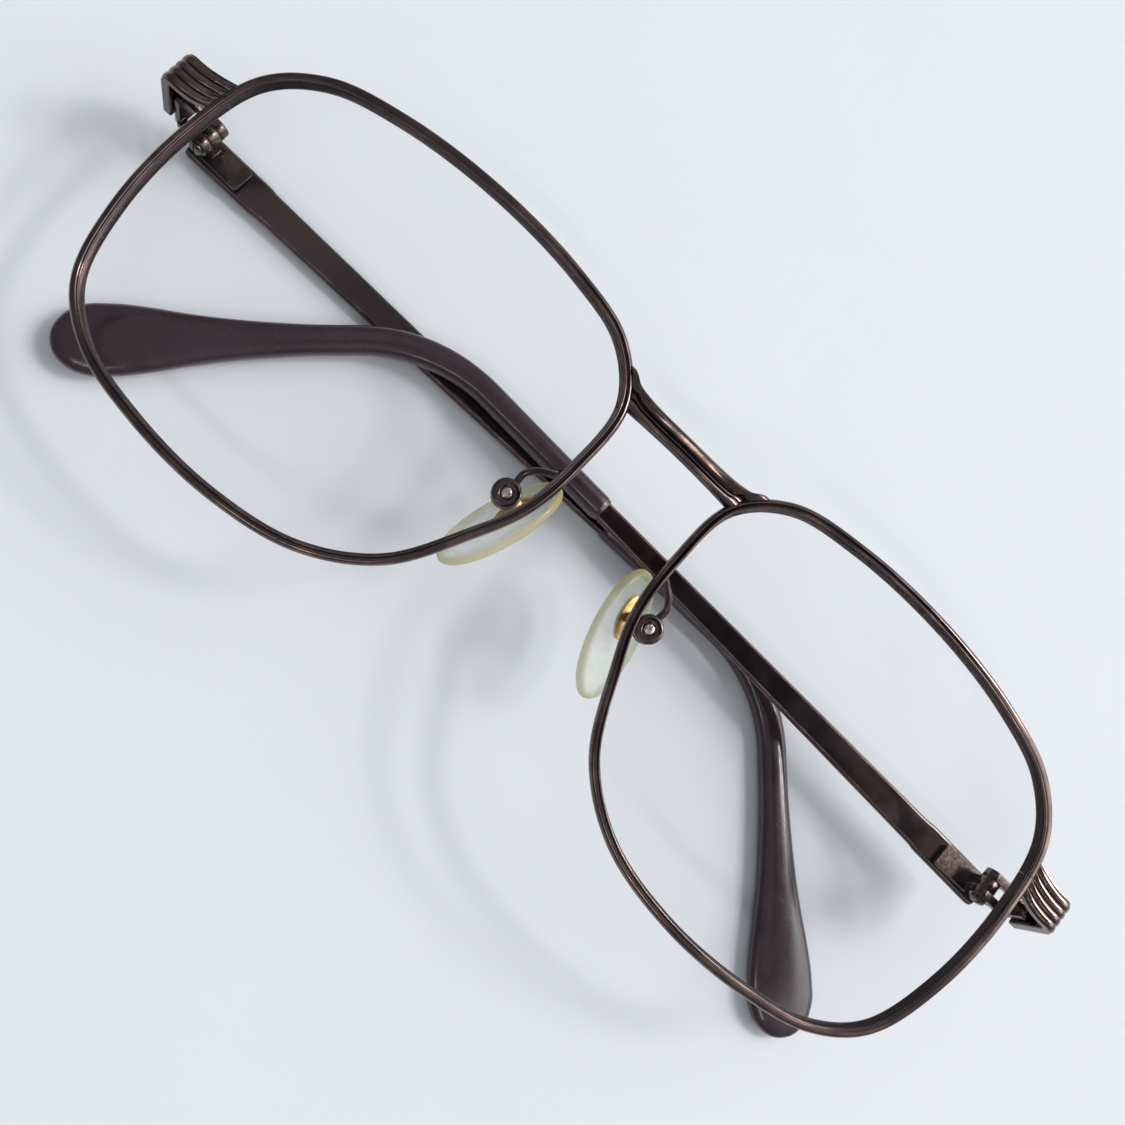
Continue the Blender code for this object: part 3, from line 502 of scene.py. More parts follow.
class Look:
    """A node material under construction."""

    def __init__(self, name):
        self.material = bpy.data.materials.new(name)
        self.material.use_nodes = True
        self.tree = self.material.node_tree
        self.shader = self.tree.nodes["Principled BSDF"]

    def set(self, **values):
        for key, value in values.items():
            self.shader.inputs[key.replace("_", " ")].default_value = value
        return self

    def node(self, kind, **values):
        made = self.tree.nodes.new(kind)
        for key, value in values.items():
            if key in made.inputs:
                made.inputs[key].default_value = value
            else:
                setattr(made, key, value)
        return made

    def link(self, source, target):
        self.tree.links.new(source, target)

    def feed(self, name, source):
        """Links a source to one of the shader's own sockets."""
        self.link(source, self.shader.inputs[name])

    def fill(self, socket, value):
        """Gives a socket a number or a colour, or links it to another socket."""
        if isinstance(value, (float, tuple)):
            socket.default_value = value
        else:
            self.link(value, socket)

    def place(self, stretch=(1.0, 1.0, 1.0)):
        """Object coordinates in millimetres."""
        spot = self.node("ShaderNodeTexCoord").outputs["Object"]
        scale = self.node("ShaderNodeVectorMath", operation="MULTIPLY")
        scale.inputs[1].default_value = [1000.0 * s for s in stretch]
        self.link(spot, scale.inputs[0])
        return scale.outputs[0]

    def noise(self, place, size, detail=2.0, roughness=0.5):
        """Noise from 0 to 1 with features of a size in millimetres."""
        made = self.node(
            "ShaderNodeTexNoise", Scale=1.0 / size, Detail=detail, Roughness=roughness
        )
        self.link(place, made.inputs["Vector"])
        return made.outputs[0]

    def between(self, value, low, high, start=0.0, end=1.0):
        """A value's range from low to high, moved to the range from start to end."""
        limits = {"From Min": low, "From Max": high, "To Min": start, "To Max": end}
        made = self.node("ShaderNodeMapRange", **limits)
        self.link(value, made.inputs["Value"])
        return made.outputs[0]

    def blend(self, share, first, second):
        """A colour between two, which are colours or sockets."""
        made = self.node("ShaderNodeMix", data_type="RGBA")
        self.link(share, made.inputs[0])
        self.fill(made.inputs[6], first)
        self.fill(made.inputs[7], second)
        return made.outputs[2]

    def multiply(self, first, second):
        made = self.node("ShaderNodeMath", operation="MULTIPLY")
        self.link(first, made.inputs[0])
        self.fill(made.inputs[1], second)
        return made.outputs[0]

    def add(self, first, second):
        made = self.node("ShaderNodeMath", operation="ADD")
        self.link(first, made.inputs[0])
        self.link(second, made.inputs[1])
        return made.outputs[0]

    def bump(self, height, depth, strength):
        """Relief of a depth in millimetres."""
        made = self.node("ShaderNodeBump", Strength=strength, Distance=depth * MM)
        self.link(height, made.inputs["Height"])
        self.feed("Normal", made.outputs[0])


def plated_metal(name, dark, warm, bare, roughness):
    """Dark glossy plating with a warm cast, faint clouding, hairline scratches and worn crests."""
    look = Look(name).set(Metallic=1.0)
    place = look.place()
    cloud = look.between(look.noise(place, 14.0, 3.0), 0.3, 0.7)
    colour = look.blend(cloud, dark, warm)
    worn = look.node("ShaderNodeAttribute", attribute_name="wear").outputs["Fac"]
    patches = look.between(look.noise(place, 3.5, 4.0, 0.65), 0.45, 0.7)
    share = look.multiply(look.multiply(worn, patches), 0.4)
    look.feed("Base Color", look.blend(share, colour, bare))
    scratches = look.noise(look.place((0.3, 2.6, 2.6)), 0.2, 3.0, 0.7)
    smudges = look.between(look.noise(place, 4.0, 3.0), 0.3, 0.7, roughness, roughness + 0.07)
    look.feed("Roughness", look.add(smudges, look.multiply(scratches, 0.04)))
    look.bump(look.add(scratches, look.noise(place, 2.5, 2.0)), 0.003, 0.2)
    return look.material


def steel(name, colour, lighter, roughness):
    """Turned or rolled steel with fine grain."""
    look = Look(name).set(Metallic=1.0)
    place = look.place()
    grain = look.noise(look.place((2.0, 0.6, 2.0)), 0.3, 3.0, 0.6)
    share = look.between(look.noise(place, 0.8, 3.0), 0.35, 0.65)
    look.feed("Base Color", look.blend(share, colour, lighter))
    gloss = look.between(grain, 0.3, 0.7, roughness, roughness + 0.15)
    look.feed("Roughness", gloss)
    look.bump(grain, 0.003, 0.3)
    return look.material


def tip_plastic():
    """Dark plum acetate with cloudy depth, soft handling haze and a few fine scuffs."""
    look = Look("tip_plastic").set(Specular_IOR_Level=0.5, Coat_Weight=0.3, Coat_Roughness=0.12)
    place = look.place()
    cloud = look.between(look.noise(place, 9.0, 4.0, 0.6), 0.35, 0.68)
    colour = look.blend(cloud, (0.027, 0.0125, 0.018, 1.0), (0.04, 0.02, 0.027, 1.0))
    speck = look.between(look.noise(place, 0.35, 2.0), 0.72, 0.8)
    colour = look.blend(look.multiply(speck, 0.15), colour, (0.12, 0.09, 0.09, 1.0))
    look.feed("Base Color", colour)
    scuffs = look.between(look.noise(look.place((0.25, 2.4, 1.0)), 0.45, 5.0, 0.7), 0.56, 0.72)
    haze = look.between(look.noise(place, 3.5, 3.0), 0.3, 0.75, 0.17, 0.27)
    look.feed("Roughness", look.add(haze, look.multiply(scuffs, 0.12)))
    look.bump(look.add(scuffs, look.noise(place, 3.5, 2.0)), 0.01, 0.25)
    return look.material


def clear_plastic(name, pale, yellow, alpha, roughness):
    """Soft clear plastic with a little haze, denser and yellower towards its rim."""
    look = Look(name).set(Specular_IOR_Level=0.5, IOR=1.42)
    place = look.place()
    rim = look.node("ShaderNodeAttribute", attribute_name="wear").outputs["Fac"]
    haze = look.between(look.noise(place, 1.8, 4.0, 0.6), 0.35, 0.7)
    tint = look.add(look.multiply(haze, 0.25), rim)
    look.feed("Base Color", look.blend(tint, pale, yellow))
    cover = look.between(tint, 0.0, 1.0, alpha, min(1.0, alpha + 0.42))
    look.feed("Alpha", cover)
    gloss = look.between(haze, 0.0, 1.0, roughness, roughness + 0.15)
    look.feed("Roughness", gloss)
    look.bump(look.noise(place, 0.7, 2.0), 0.01, 0.3)
    return look.material


def lens_glass():
    """Clear coated glass: almost nothing but a faint gloss, a trace of dust and a smear."""
    look = Look("lens_glass").set(Roughness=0.03, IOR=1.5, Specular_IOR_Level=0.15)
    place = look.place()
    dust = look.between(look.noise(place, 0.5, 2.0), 0.7, 0.85)
    smear = look.between(look.noise(look.place((0.4, 1.0, 1.0)), 6.0, 3.0), 0.5, 0.8)
    alpha = look.add(look.multiply(dust, 0.04), look.multiply(smear, 0.012))
    look.feed("Alpha", look.between(alpha, 0.0, 1.0, 0.025, 1.0))
    colour = look.blend(smear, (0.03, 0.036, 0.04, 1.0), (0.1, 0.11, 0.12, 1.0))
    look.feed("Base Color", colour)
    return look.material


def make_looks():
    return {
        "gunmetal": plated_metal(
            "gunmetal", (0.08, 0.061, 0.064, 1.0), (0.13, 0.094, 0.09, 1.0),
            (0.5, 0.34, 0.27, 1.0), 0.08,
        ),
        "hinge_steel": steel(
            "hinge_steel", (0.09, 0.07, 0.066, 1.0), (0.14, 0.105, 0.092, 1.0), 0.13
        ),
        "screw_steel": steel("screw_steel", (0.62, 0.5, 0.45, 1.0), (0.8, 0.68, 0.62, 1.0), 0.14),
        "tip_plastic": tip_plastic(),
        "pad_silicone": clear_plastic(
            "pad_silicone", (0.66, 0.74, 0.64, 1.0), (0.52, 0.46, 0.16, 1.0), 0.16, 0.1
        ),
        "pad_core_brass": steel(
            "pad_core_brass", (0.42, 0.26, 0.1, 1.0), (0.62, 0.43, 0.19, 1.0), 0.28
        ),
        "lens": lens_glass(),
    }


# ---- the front

def lens_surface(x, y):
    across = x - LENS_CENTRE_X
    return -(across * across + y * y) / (2 * BASE_CURVE_RADIUS) - FACE_FORM_SLOPE * across


def surface_normal(x, y):
    slope_x = (x - LENS_CENTRE_X) / BASE_CURVE_RADIUS + FACE_FORM_SLOPE
    return Vector((slope_x, y / BASE_CURVE_RADIUS, 1.0)).normalized()


def rim_frames():
    """The rim's centre line from one side of its split to the other: (centre, outward, forward)."""
    loop = smooth_loop(EYEWIRE_OUTLINE, POINTS_PER_KNOT)
    count = len(loop)
    low = next(
        k for k in range(count)
        if loop[k].x > LENS_CENTRE_X and loop[k].y >= SPLIT_Y > loop[k + 1].y
    )
    share = (loop[low].y - SPLIT_Y) / (loop[low].y - loop[low + 1].y)
    route = [loop[low].lerp(loop[low + 1], share)]
    route += [loop[(low + 1 + k) % count] for k in range(count)]
    route.append(route[0])
    lengths = [0.0]
    for a, b in zip(route, route[1:]):
        lengths.append(lengths[-1] + (b - a).length)
    frames = []
    i = 0
    for k in range(EYEWIRE_STEPS + 1):
        wanted = SPLIT_GAP / 2 + (lengths[-1] - SPLIT_GAP) * k / EYEWIRE_STEPS
        while i < len(route) - 2 and lengths[i + 1] <= wanted:
            i += 1
        share = (wanted - lengths[i]) / (lengths[i + 1] - lengths[i])
        flat = route[i].lerp(route[i + 1], share)
        before = route[max(i - 1, 0)]
        after = route[min(i + 2, len(route) - 1)]
        tangent = (route[i + 1] - before).lerp(after - route[i], share)
        forward = surface_normal(flat.x, flat.y)
        outward = Vector((-tangent.y, tangent.x, 0.0)).normalized()
        outward = (outward - forward * outward.dot(forward)).normalized()
        frames.append((Vector((flat.x, flat.y, lens_surface(flat.x, flat.y))), outward, forward))
    return frames


def rim_edge_x(frames, y, inward):
    """How far out the rim's outer side is on the nose side at a height, moved inward a little."""
    edge = [c + o * (EYEWIRE_HALF_WIDTH - inward) for c, o, _ in frames if c.x < LENS_CENTRE_X]
    above = min((p for p in edge if p.y >= y), key=lambda p: p.y)
    below = max((p for p in edge if p.y < y), key=lambda p: p.y)
    return mix(below.x, above.x, below.y, above.y, y)


def build_eyewire(name, side, frames, matrix, look):
    section = EYEWIRE_HALF_SECTION + [EYEWIRE_GROOVE]
    section += [(a, -b, w * EYEWIRE_BACK_WEAR) for a, b, w in reversed(EYEWIRE_HALF_SECTION[1:])]
    rings = []
    for centre, outward, forward in frames:
        rings.append([centre + outward * a + forward * b for a, b, _ in section])
    wear = [w for _ in frames for _, _, w in section]
    made = new_object(name + "_rim", matrix, loft(rings), look, side, wear)
    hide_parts(name + "_eyewire")
    return made


def build_lens(name, side, frames, matrix, look):
    frames = frames[::FRAMES_PER_LENS_POINT]

    def edge_ring(inset):
        return [c - o * inset for c, o, _ in frames]

    def face_ring(share, forward_by):
        ring = []
        for point in edge_ring(LENS_EDGE_INSET):
            x = LENS_CENTRE_X + (point.x - LENS_CENTRE_X) * share
            y = point.y * share
            ring.append(Vector((x, y, lens_surface(x, y) + forward_by)))
        return ring

    rings = [face_ring(share, LENS_HALF_THICKNESS) for share in LENS_SHARES]
    rings.append(edge_ring(LENS_BEVEL_INSET))
    rings += [face_ring(share, -LENS_HALF_THICKNESS) for share in reversed(LENS_SHARES)]
    made = new_object(name + "_clear_lens", matrix, loft(rings), look, side)
    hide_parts(name + "_lens")
    return made


def build_bridge(frames, matrix, look):
    loop = smooth_loop(BRIDGE_SECTION, 4)
    end_centre = BRIDGE_MIDDLE_Y + BRIDGE_END_RISE
    end_half = BRIDGE_MIDDLE_HALF_HEIGHT + BRIDGE_END_FLARE
    reach = [rim_edge_x(frames, end_centre + p.x * end_half, BRIDGE_SINK) for p in loop]
    rings = []
    wear = []
    for k in range(BRIDGE_STEPS + 1):
        t = 2 * k / BRIDGE_STEPS - 1
        spread = abs(t) ** 4
        middle = BRIDGE_MIDDLE_Y + BRIDGE_END_RISE * spread
        half = BRIDGE_MIDDLE_HALF_HEIGHT + BRIDGE_END_FLARE * spread
        beside = (abs(t) - BRIDGE_SWELL_PLACE) / BRIDGE_SWELL_WIDTH
        swell = BRIDGE_SWELL * math.exp(-(beside ** 2))
        middle += swell
        half += swell
        setback = BRIDGE_MIDDLE_Z - BRIDGE_END_SETBACK * t * t
        rings.append([
            Vector((t * end_x, middle + p.x * half, setback + p.y))
            for p, end_x in zip(loop, reach)
        ])
        wear += [min(1.0, max(0.0, p.z)) for p in loop]
    made = new_object("bridge_bar", matrix, loft(rings), look, 1, wear)
    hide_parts("bridge")
    return made


def ridge_profile(round_top):
    """Across the ridged band: (share of the half height, share of the ridge height)."""
    profile = [(-1.0, 0.1), (-0.97, 0.16)]
    for ridge in range(RIDGE_COUNT):
        for k in range(RIDGE_STEPS + 1):
            u = k / RIDGE_STEPS
            if u == 0 and ridge:
                continue
            v = -RIDGE_SPAN + 2 * RIDGE_SPAN * (ridge + u) / RIDGE_COUNT
            rise = max(0.0, 1 - (2 * u - 1) ** 2) ** 0.5
            profile.append((v, rise * round_top))
    return profile + [(0.97, 0.16), (1.0, 0.1)]


def band_ring(point, outward, up, ridge_share=1.0):
    ring = []
    for v, r in ridge_profile(ridge_share):
        ring.append(point + up * (v * BAND_HALF_HEIGHT) + outward * (r * RIDGE_HEIGHT))
    for v, depth, _ in BAND_BACK:
        ring.append(point + up * (v * BAND_HALF_HEIGHT) - outward * (BAND_THICKNESS * depth))
    return ring


def build_end_piece(name, side, matrix, look):
    outer_x = HINGE_X + BAND_OUTER_X
    corner_x = outer_x - BAND_CORNER_RADIUS
    corner_z = BAND_FRONT_Z - BAND_CORNER_RADIUS
    up = Vector((0.0, 1.0, 0.0))
    rings = []
    for k in range(BAND_FRONT_STEPS + 1):
        share = k / BAND_FRONT_STEPS
        lean = PANTOSCOPIC_TILT * (1 - share)
        along_rim = Vector((0.0, math.cos(lean), math.sin(lean)))
        forward = Vector((0.0, -math.sin(lean), math.cos(lean)))
        x = mix(BAND_START_X, corner_x, 0.0, 1.0, share)
        front_z = BAND_FRONT_Z - BAND_START_SETBACK * (1 - share)
        centre = Vector((x, BAND_RIM_RISE * (1 - share) ** 2, front_z))
        slant = BAND_START_SLANT * max(0.0, 1 - 2 * share)
        ring = band_ring(centre, forward, along_rim, min(1.0, 0.15 + 1.7 * share ** 0.5))
        rings.append([p + Vector((slant * (centre.y - p.y), 0.0, 0.0)) for p in ring])
    for k in range(1, BAND_CORNER_STEPS + 1):
        a = math.radians(90) * k / BAND_CORNER_STEPS
        outward = Vector((math.sin(a), 0.0, math.cos(a)))
        centre = Vector((corner_x, 0.0, corner_z)) + outward * BAND_CORNER_RADIUS
        rings.append(band_ring(centre, outward, up))
    outward = Vector((1.0, 0.0, 0.0))
    for k in range(1, BAND_SIDE_STEPS + 1):
        z = mix(corner_z, BAND_END_Z, 0.0, 1.0, k / BAND_SIDE_STEPS)
        share = 1.0 if k < BAND_SIDE_STEPS else BAND_LAST_RIDGE
        rings.append(band_ring(Vector((outer_x, 0.0, z)), outward, up, share))
    profile = [r for _, r in ridge_profile(1.0)] + [worn for _, _, worn in BAND_BACK]
    wear = [r ** 2 for _ in rings for r in profile]
    made = new_object(name + "_ridged_end", matrix, loft(rings), look, side, wear, 30.0)
    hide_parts(name + "_end_piece")
    return made


def slotted_screw(name, matrix, look, profile, centre, along, slot, side):
    """A turned screw with a straight slot across one end: slot is (width, depth, end position)."""
    screw = new_object(name, matrix, turned(profile, SCREW_STEPS, centre, along), look, side)
    width, depth, end = slot
    reach = 3.0
    low = [c - reach for c in centre]
    high = [c + reach for c in centre]
    low[X] = centre[X] - width / 2
    high[X] = centre[X] + width / 2
    inner = end - depth if end > 0 else end + depth
    low[along] = centre[along] + (inner if end > 0 else end - 1.0)
    high[along] = centre[along] + (end + 1.0 if end > 0 else inner)
    cutter = new_object("cutter", matrix, box(low, high), look, side)
    combined(screw, [cutter])
    soften(screw, 0.03, 2, 30.0)
    return screw


def build_closing_block(name, side, matrix, looks):
    middle = Vector((sum(BLOCK_X) / 2, SPLIT_Y, sum(BLOCK_Z) / 2))
    (x0, x1), (z0, z1) = BLOCK_X, BLOCK_Z
    centre_z = (z0 + z1) / 2
    radius = (z1 - z0) / 2
    outline = [(x0, z0), (x1 - radius, z0)]
    for k in range(1, 12):
        a = math.pi * k / 12 - math.pi / 2
        outline.append((x1 - radius + radius * math.cos(a), centre_z + radius * math.sin(a)))
    outline += [(x1 - radius, z1), (x0, z1)]
    pieces = []
    look = looks["gunmetal"]
    top = BLOCK_HALF_HEIGHT
    for part, low, high in (("upper", SPLIT_GAP / 2, top), ("lower", -top, -SPLIT_GAP / 2)):
        shape = prism(outline, SPLIT_Y + low, SPLIT_Y + high, Y)
        block = new_object(f"{name}_clamp_{part}", matrix, shape, look, side)
        combined(block, [bore(matrix, look, side, middle, Y, CLOSING_BORE_RADIUS, 4.0)])
        soften(block, 0.1)
        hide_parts(f"{name}_closing_block_{part}")
        pieces.append(block)
    head = -top - HEAD_GAP
    profile = [
        (head - CLOSING_HEAD_HEIGHT, 0.3), (head - CLOSING_HEAD_HEIGHT + 0.03, 0.58),
        (head - CLOSING_HEAD_HEIGHT + 0.12, 0.76), (head - 0.2, CLOSING_HEAD_RADIUS),
        (head, CLOSING_HEAD_RADIUS), (head, CLOSING_SHAFT_RADIUS), (top, CLOSING_SHAFT_RADIUS),
    ]
    slot = (0.26, 0.22, head - CLOSING_HEAD_HEIGHT)
    screw = slotted_screw(
        name + "_clamp_screw", matrix, looks["screw_steel"], profile, middle, Y, slot, side
    )
    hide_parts(name + "_closing_screw")
    return pieces + [screw]


# ---- hinges

def knuckle_outline():
    """One knuckle on its web, which reaches a little way into the leaf."""
    foot = -LEAF_NEAR - WEB_SINK
    outline = [(LEAF_END, foot), (KNUCKLE_RADIUS, foot)]
    for k in range(KNUCKLE_STEPS + 1):
        a = math.pi * k / KNUCKLE_STEPS
        outline.append((KNUCKLE_RADIUS * math.cos(a), KNUCKLE_RADIUS * math.sin(a)))
    return outline + [(-KNUCKLE_RADIUS, -WEB_SHOULDER), (LEAF_END, -WEB_SHOULDER - KNUCKLE_RADIUS)]


def hinge_leaf(node, piece, bands, frame, look):
    """A leaf with a knuckle over each band of heights."""
    half = LEAF_HALF_HEIGHT
    chamfer = LEAF_CHAMFER
    outline = [
        (LEAF_END, -half), (LEAF_LENGTH - chamfer, -half), (LEAF_LENGTH, chamfer - half),
        (LEAF_LENGTH, half - chamfer), (LEAF_LENGTH - chamfer, half), (LEAF_END, half),
    ]
    leaf = new_object(piece, frame, prism(outline, -LEAF_FAR, -LEAF_NEAR, Z), look)
    knuckles = [
        new_object("knuckle", frame, prism(knuckle_outline(), low, high, Y), look)
        for low, high in bands
    ]
    combined(leaf, knuckles, "UNION")
    combined(leaf, [bore(frame, look, 1, ORIGIN, Y, HINGE_BORE_RADIUS, 4.0)])
    soften(leaf, 0.07)
    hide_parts(node)
    return leaf


def build_front_hinge(name, side, matrix, looks):
    inner = KNUCKLE_HALF_GAP + KNUCKLE_CLEARANCE
    bands = [(inner, KNUCKLE_TOP), (-KNUCKLE_TOP, -inner)]
    look = looks["hinge_steel"]
    turn = Matrix(((0, 0, -side, 0), (0, 1, 0, 0), (1, 0, 0, 0), (0, 0, 0, 1)))
    leaf = hinge_leaf(
        name + "_hinge_front_leaf", name + "_front_knuckles", bands, matrix @ turn, look
    )
    head = -KNUCKLE_TOP - HEAD_GAP
    profile = [
        (head - HINGE_HEAD_HEIGHT, 0.35), (head - HINGE_HEAD_HEIGHT + 0.03, 0.66),
        (head - HINGE_HEAD_HEIGHT + 0.14, 0.86), (head - 0.22, HINGE_HEAD_RADIUS),
        (head, HINGE_HEAD_RADIUS), (head, HINGE_SHAFT_RADIUS),
        (KNUCKLE_TOP + 0.04, HINGE_SHAFT_RADIUS), (KNUCKLE_TOP + 0.1, HINGE_SHAFT_RADIUS - 0.08),
    ]
    slot = (0.28, 0.25, head - HINGE_HEAD_HEIGHT)
    screw = slotted_screw(name + "_hinge_pin", matrix, look, profile, ORIGIN, Y, slot, side)
    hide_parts(name + "_hinge_screw")
    return [leaf, screw]


# ---- temples

def temple_route(position):
    """The centre line at a distance along the temple, and how far down it has turned there."""
    arc_end = BEND_START + BEND_RADIUS * BEND_ANGLE
    if position <= BEND_START:
        return Vector((position, 0.0, 0.0)), 0.0
    angle = min((position - BEND_START) / BEND_RADIUS, BEND_ANGLE)
    x = BEND_START + BEND_RADIUS * math.sin(angle)
    y = -BEND_RADIUS * (1 - math.cos(angle))
    beyond = max(0.0, position - arc_end)
    return Vector((x + beyond * math.cos(angle), y - beyond * math.sin(angle), 0.0)), angle


def route_ring(position, section):
    centre, angle = temple_route(position)
    up = Vector((math.sin(angle), math.cos(angle), 0.0))
    rise = Matrix.Rotation(BAR_RISE, 3, "Z")
    return [rise @ (centre + up * a) + Vector((0.0, 0.0, -b)) for a, b in section]


def bar_section(position):
    """Flat inside with stepped edges, ridged outside over the trim length, then crowned."""
    half = smooth_table(BAR_HALF_HEIGHTS, position)[0]
    fade = min(1.0, max(0.0, (TRIM_END + 0.5 - position) / 0.9))
    section = []
    wear = []
    for v, r in ridge_profile(1.0):
        rise = r * fade + (1 - abs(v) ** 4) * (1 - fade)
        section.append((v * half, BAR_OUTER - RIDGE_HEIGHT * (1 - rise)))
        wear.append(r * r * fade + BAR_CROWN_WEAR * (1 - fade))
    for inset, depth, worn in BAR_EDGE:
        section.append((half - inset, BAR_INNER + depth))
        wear.append(worn)
    for inset, depth, worn in reversed(BAR_EDGE):
        section.append((inset - half, BAR_INNER + depth))
        wear.append(worn)
    return section, wear


def build_bar(name, matrix, look):
    """The stops are close together where the ridges fade out, and wider apart after that."""
    stops = [TEMPLE_START, -1.64, -1.5, -1.2] + [0.4 * k for k in range(28)]
    stops += [12.0 + k * 1.5 for k in range(35)] + [BAR_END]
    stops = sorted(set(round(s, 3) for s in stops))
    rings = []
    wear = []
    for position in stops:
        section, worn = bar_section(position)
        rings.append(route_ring(position, section))
        wear += worn
    made = new_object(name + "_side_bar", matrix, loft(rings), look, 1, wear, 50.0)
    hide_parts(name + "_temple_bar")
    return made


def tip_ring(position, half_height, half_thickness):
    section = []
    for k in range(TIP_POINTS):
        a = math.tau * (k + 0.5) / TIP_POINTS
        c, s = math.cos(a), math.sin(a)
        up = math.copysign(abs(s) ** (2 / TIP_SQUARENESS), s) * half_height
        out = math.copysign(abs(c) ** (2 / TIP_SQUARENESS), c) * half_thickness
        section.append((up, SLEEVE_MIDDLE + out))
    return route_ring(position, section)


def build_tip(name, matrix, look):
    stops = [row[0] for row in TIP_SIZES] + [132.0, 132.7, 132.9, 133.1]
    stops += [TIP_PLAIN_START + TIP_STEP * k for k in range(1, 76)]
    stops = sorted(set(round(s, 3) for s in stops if s <= TIP_SIZES[-1][0]))
    rings = [tip_ring(s, *smooth_table(TIP_SIZES, s)) for s in stops]
    made = new_object(name + "_tip_cover", matrix, loft(rings), look, 1, None, 50.0)
    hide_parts(name + "_temple_tip")
    return made


# ---- nose pads

def tube(route, radii, steps=16):
    rings = []
    last = len(route) - 1
    for k, point in enumerate(route):
        ahead = route[min(k + 1, last)] - route[max(k - 1, 0)]
        turn = ahead.to_track_quat("Z", "X")
        rings.append([
            point + turn @ Vector((radii[k] * math.cos(a), radii[k] * math.sin(a), 0.0))
            for a in (math.tau * j / steps for j in range(steps))
        ])
    return loft(rings)


def build_pad_mount(name, side, matrix, looks):
    look = looks["gunmetal"]
    route = smooth_route(PAD_ARM_ROUTE, 8)
    radii = [
        PAD_ARM_RADIUS + PAD_ARM_FILLET * math.exp(-((k / 3.5) ** 2)) for k in range(len(route))
    ]
    arm = new_object(name + "_pad_wire", matrix, tube(route, radii), look, side)
    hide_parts(name + "_pad_arm")

    centre = PAD_SCREW_CENTRE
    front, back, radius = PAD_BOX_FRONT, PAD_BOX_BACK, PAD_BOX_RADIUS
    profile = [
        (back, radius - 0.25), (back + 0.08, radius - 0.08), (back + 0.25, radius),
        (front - 0.3, radius), (front - 0.1, radius - 0.06), (front, radius - 0.25),
        (front, 0.86), (front - 0.06, 0.78), (front - 0.2, 0.76),
    ]
    drum = new_object(
        name + "_pad_drum", matrix, turned(profile, PAD_STEPS, centre, Z), look, side
    )
    reach = 2 * radius
    x, y, z = centre
    mouth = box(
        (x - reach, y - reach, z - PAD_SLOT_HALF), (x + PAD_BOX_WALL, y + reach, z + PAD_SLOT_HALF)
    )
    cutters = [
        new_object("cutter", matrix, mouth, look, side),
        bore(matrix, look, side, centre, Z, PAD_BORE_RADIUS, 3.0),
    ]
    combined(drum, cutters)
    soften(drum, 0.05)
    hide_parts(name + "_pad_box")

    profile = [
        (back, PAD_SHAFT_RADIUS), (front - 0.2, PAD_SHAFT_RADIUS), (front - 0.2, PAD_HEAD_RADIUS),
        (front + 0.02, PAD_HEAD_RADIUS), (front + 0.12, 0.54), (front + 0.18, 0.4),
        (front + 0.2, 0.2),
    ]
    slot = (0.2, 0.22, front + 0.2)
    screw = slotted_screw(
        name + "_pad_pin", matrix, looks["screw_steel"], profile, centre, Z, slot, side
    )
    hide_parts(name + "_pad_screw")
    return [arm, drum, screw]


def pad_axes(name):
    """The pad's centre from its screw, and its length, width and facing directions."""
    lengthwise = Vector((-math.sin(PAD_CANT), math.cos(PAD_CANT), 0.0))
    sideways = Vector((math.cos(PAD_CANT), math.sin(PAD_CANT), 0.0))
    splay = PAD_SPLAY[name]
    facing = sideways * math.sin(splay) + Vector((0.0, 0.0, math.cos(splay)))
    return PAD_CENTRE - PAD_SCREW_CENTRE, lengthwise, lengthwise.cross(facing), facing


def oval_ring(axes, rise, half_length, half_width, height, steps):
    centre, lengthwise, across, facing = axes
    return [
        centre + lengthwise * (rise + half_length * math.cos(a))
        + across * (half_width * math.sin(a)) + facing * height
        for a in (math.tau * k / steps for k in range(steps))
    ]


def build_pad(name, side, matrix, look):
    """A soft oval shell, hollow behind its core and worn yellow round its edge."""
    length, width, top = PAD_HALF_LENGTH, PAD_HALF_WIDTH, PAD_THICKNESS / 2
    floor = top - CORE_THICKNESS - 0.06
    rows = [
        (CORE_RISE, 0.3, 0.15, floor, 0.0),
        (CORE_RISE, CORE_HALF_LENGTH, CORE_HALF_WIDTH, floor, 0.0),
        (CORE_RISE, 2.76, 1.41, floor + 0.05, 0.0), (CORE_RISE, 2.76, 1.41, top - 0.05, 0.0),
        (CORE_RISE * 0.97, 2.86, 1.5, top, 0.05), (CORE_RISE * 0.6, 4.4, 2.1, top, 0.05),
        (0.3, length - 1.4, width - 1.1, top, 0.1),
        (0.0, length - 0.75, width - 0.7, top - 0.02, 0.2),
        (0.0, length - 0.4, width - 0.38, top - 0.1, 0.6),
        (0.0, length - 0.15, width - 0.15, top - 0.28, 0.9),
        (0.0, length - 0.02, width - 0.02, 0.15, 1.0), (0.0, length, width, -0.1, 1.0),
        (0.0, length - 0.06, width - 0.06, -0.35, 0.9),
        (0.0, length - 0.25, width - 0.25, 0.18 - top, 0.6),
        (0.0, length - 0.6, width - 0.6, 0.02 - top, 0.2),
        (0.0, length - 1.6, width - 1.4, -0.1 - top, 0.05),
        (0.0, length * 0.5, width * 0.4, -0.22 - top, 0.0),
        (0.0, length * 0.1, width * 0.08, -0.25 - top, 0.0),
    ]
    rings = [oval_ring(pad_axes(name), *row[:4], PAD_STEPS) for row in rows]
    wear = [row[4] for row in rows for _ in range(PAD_STEPS)]
    pad = new_object(name + "_pad_cushion", matrix, loft(rings), look, side, wear)
    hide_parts(name + "_nose_pad")
    return pad


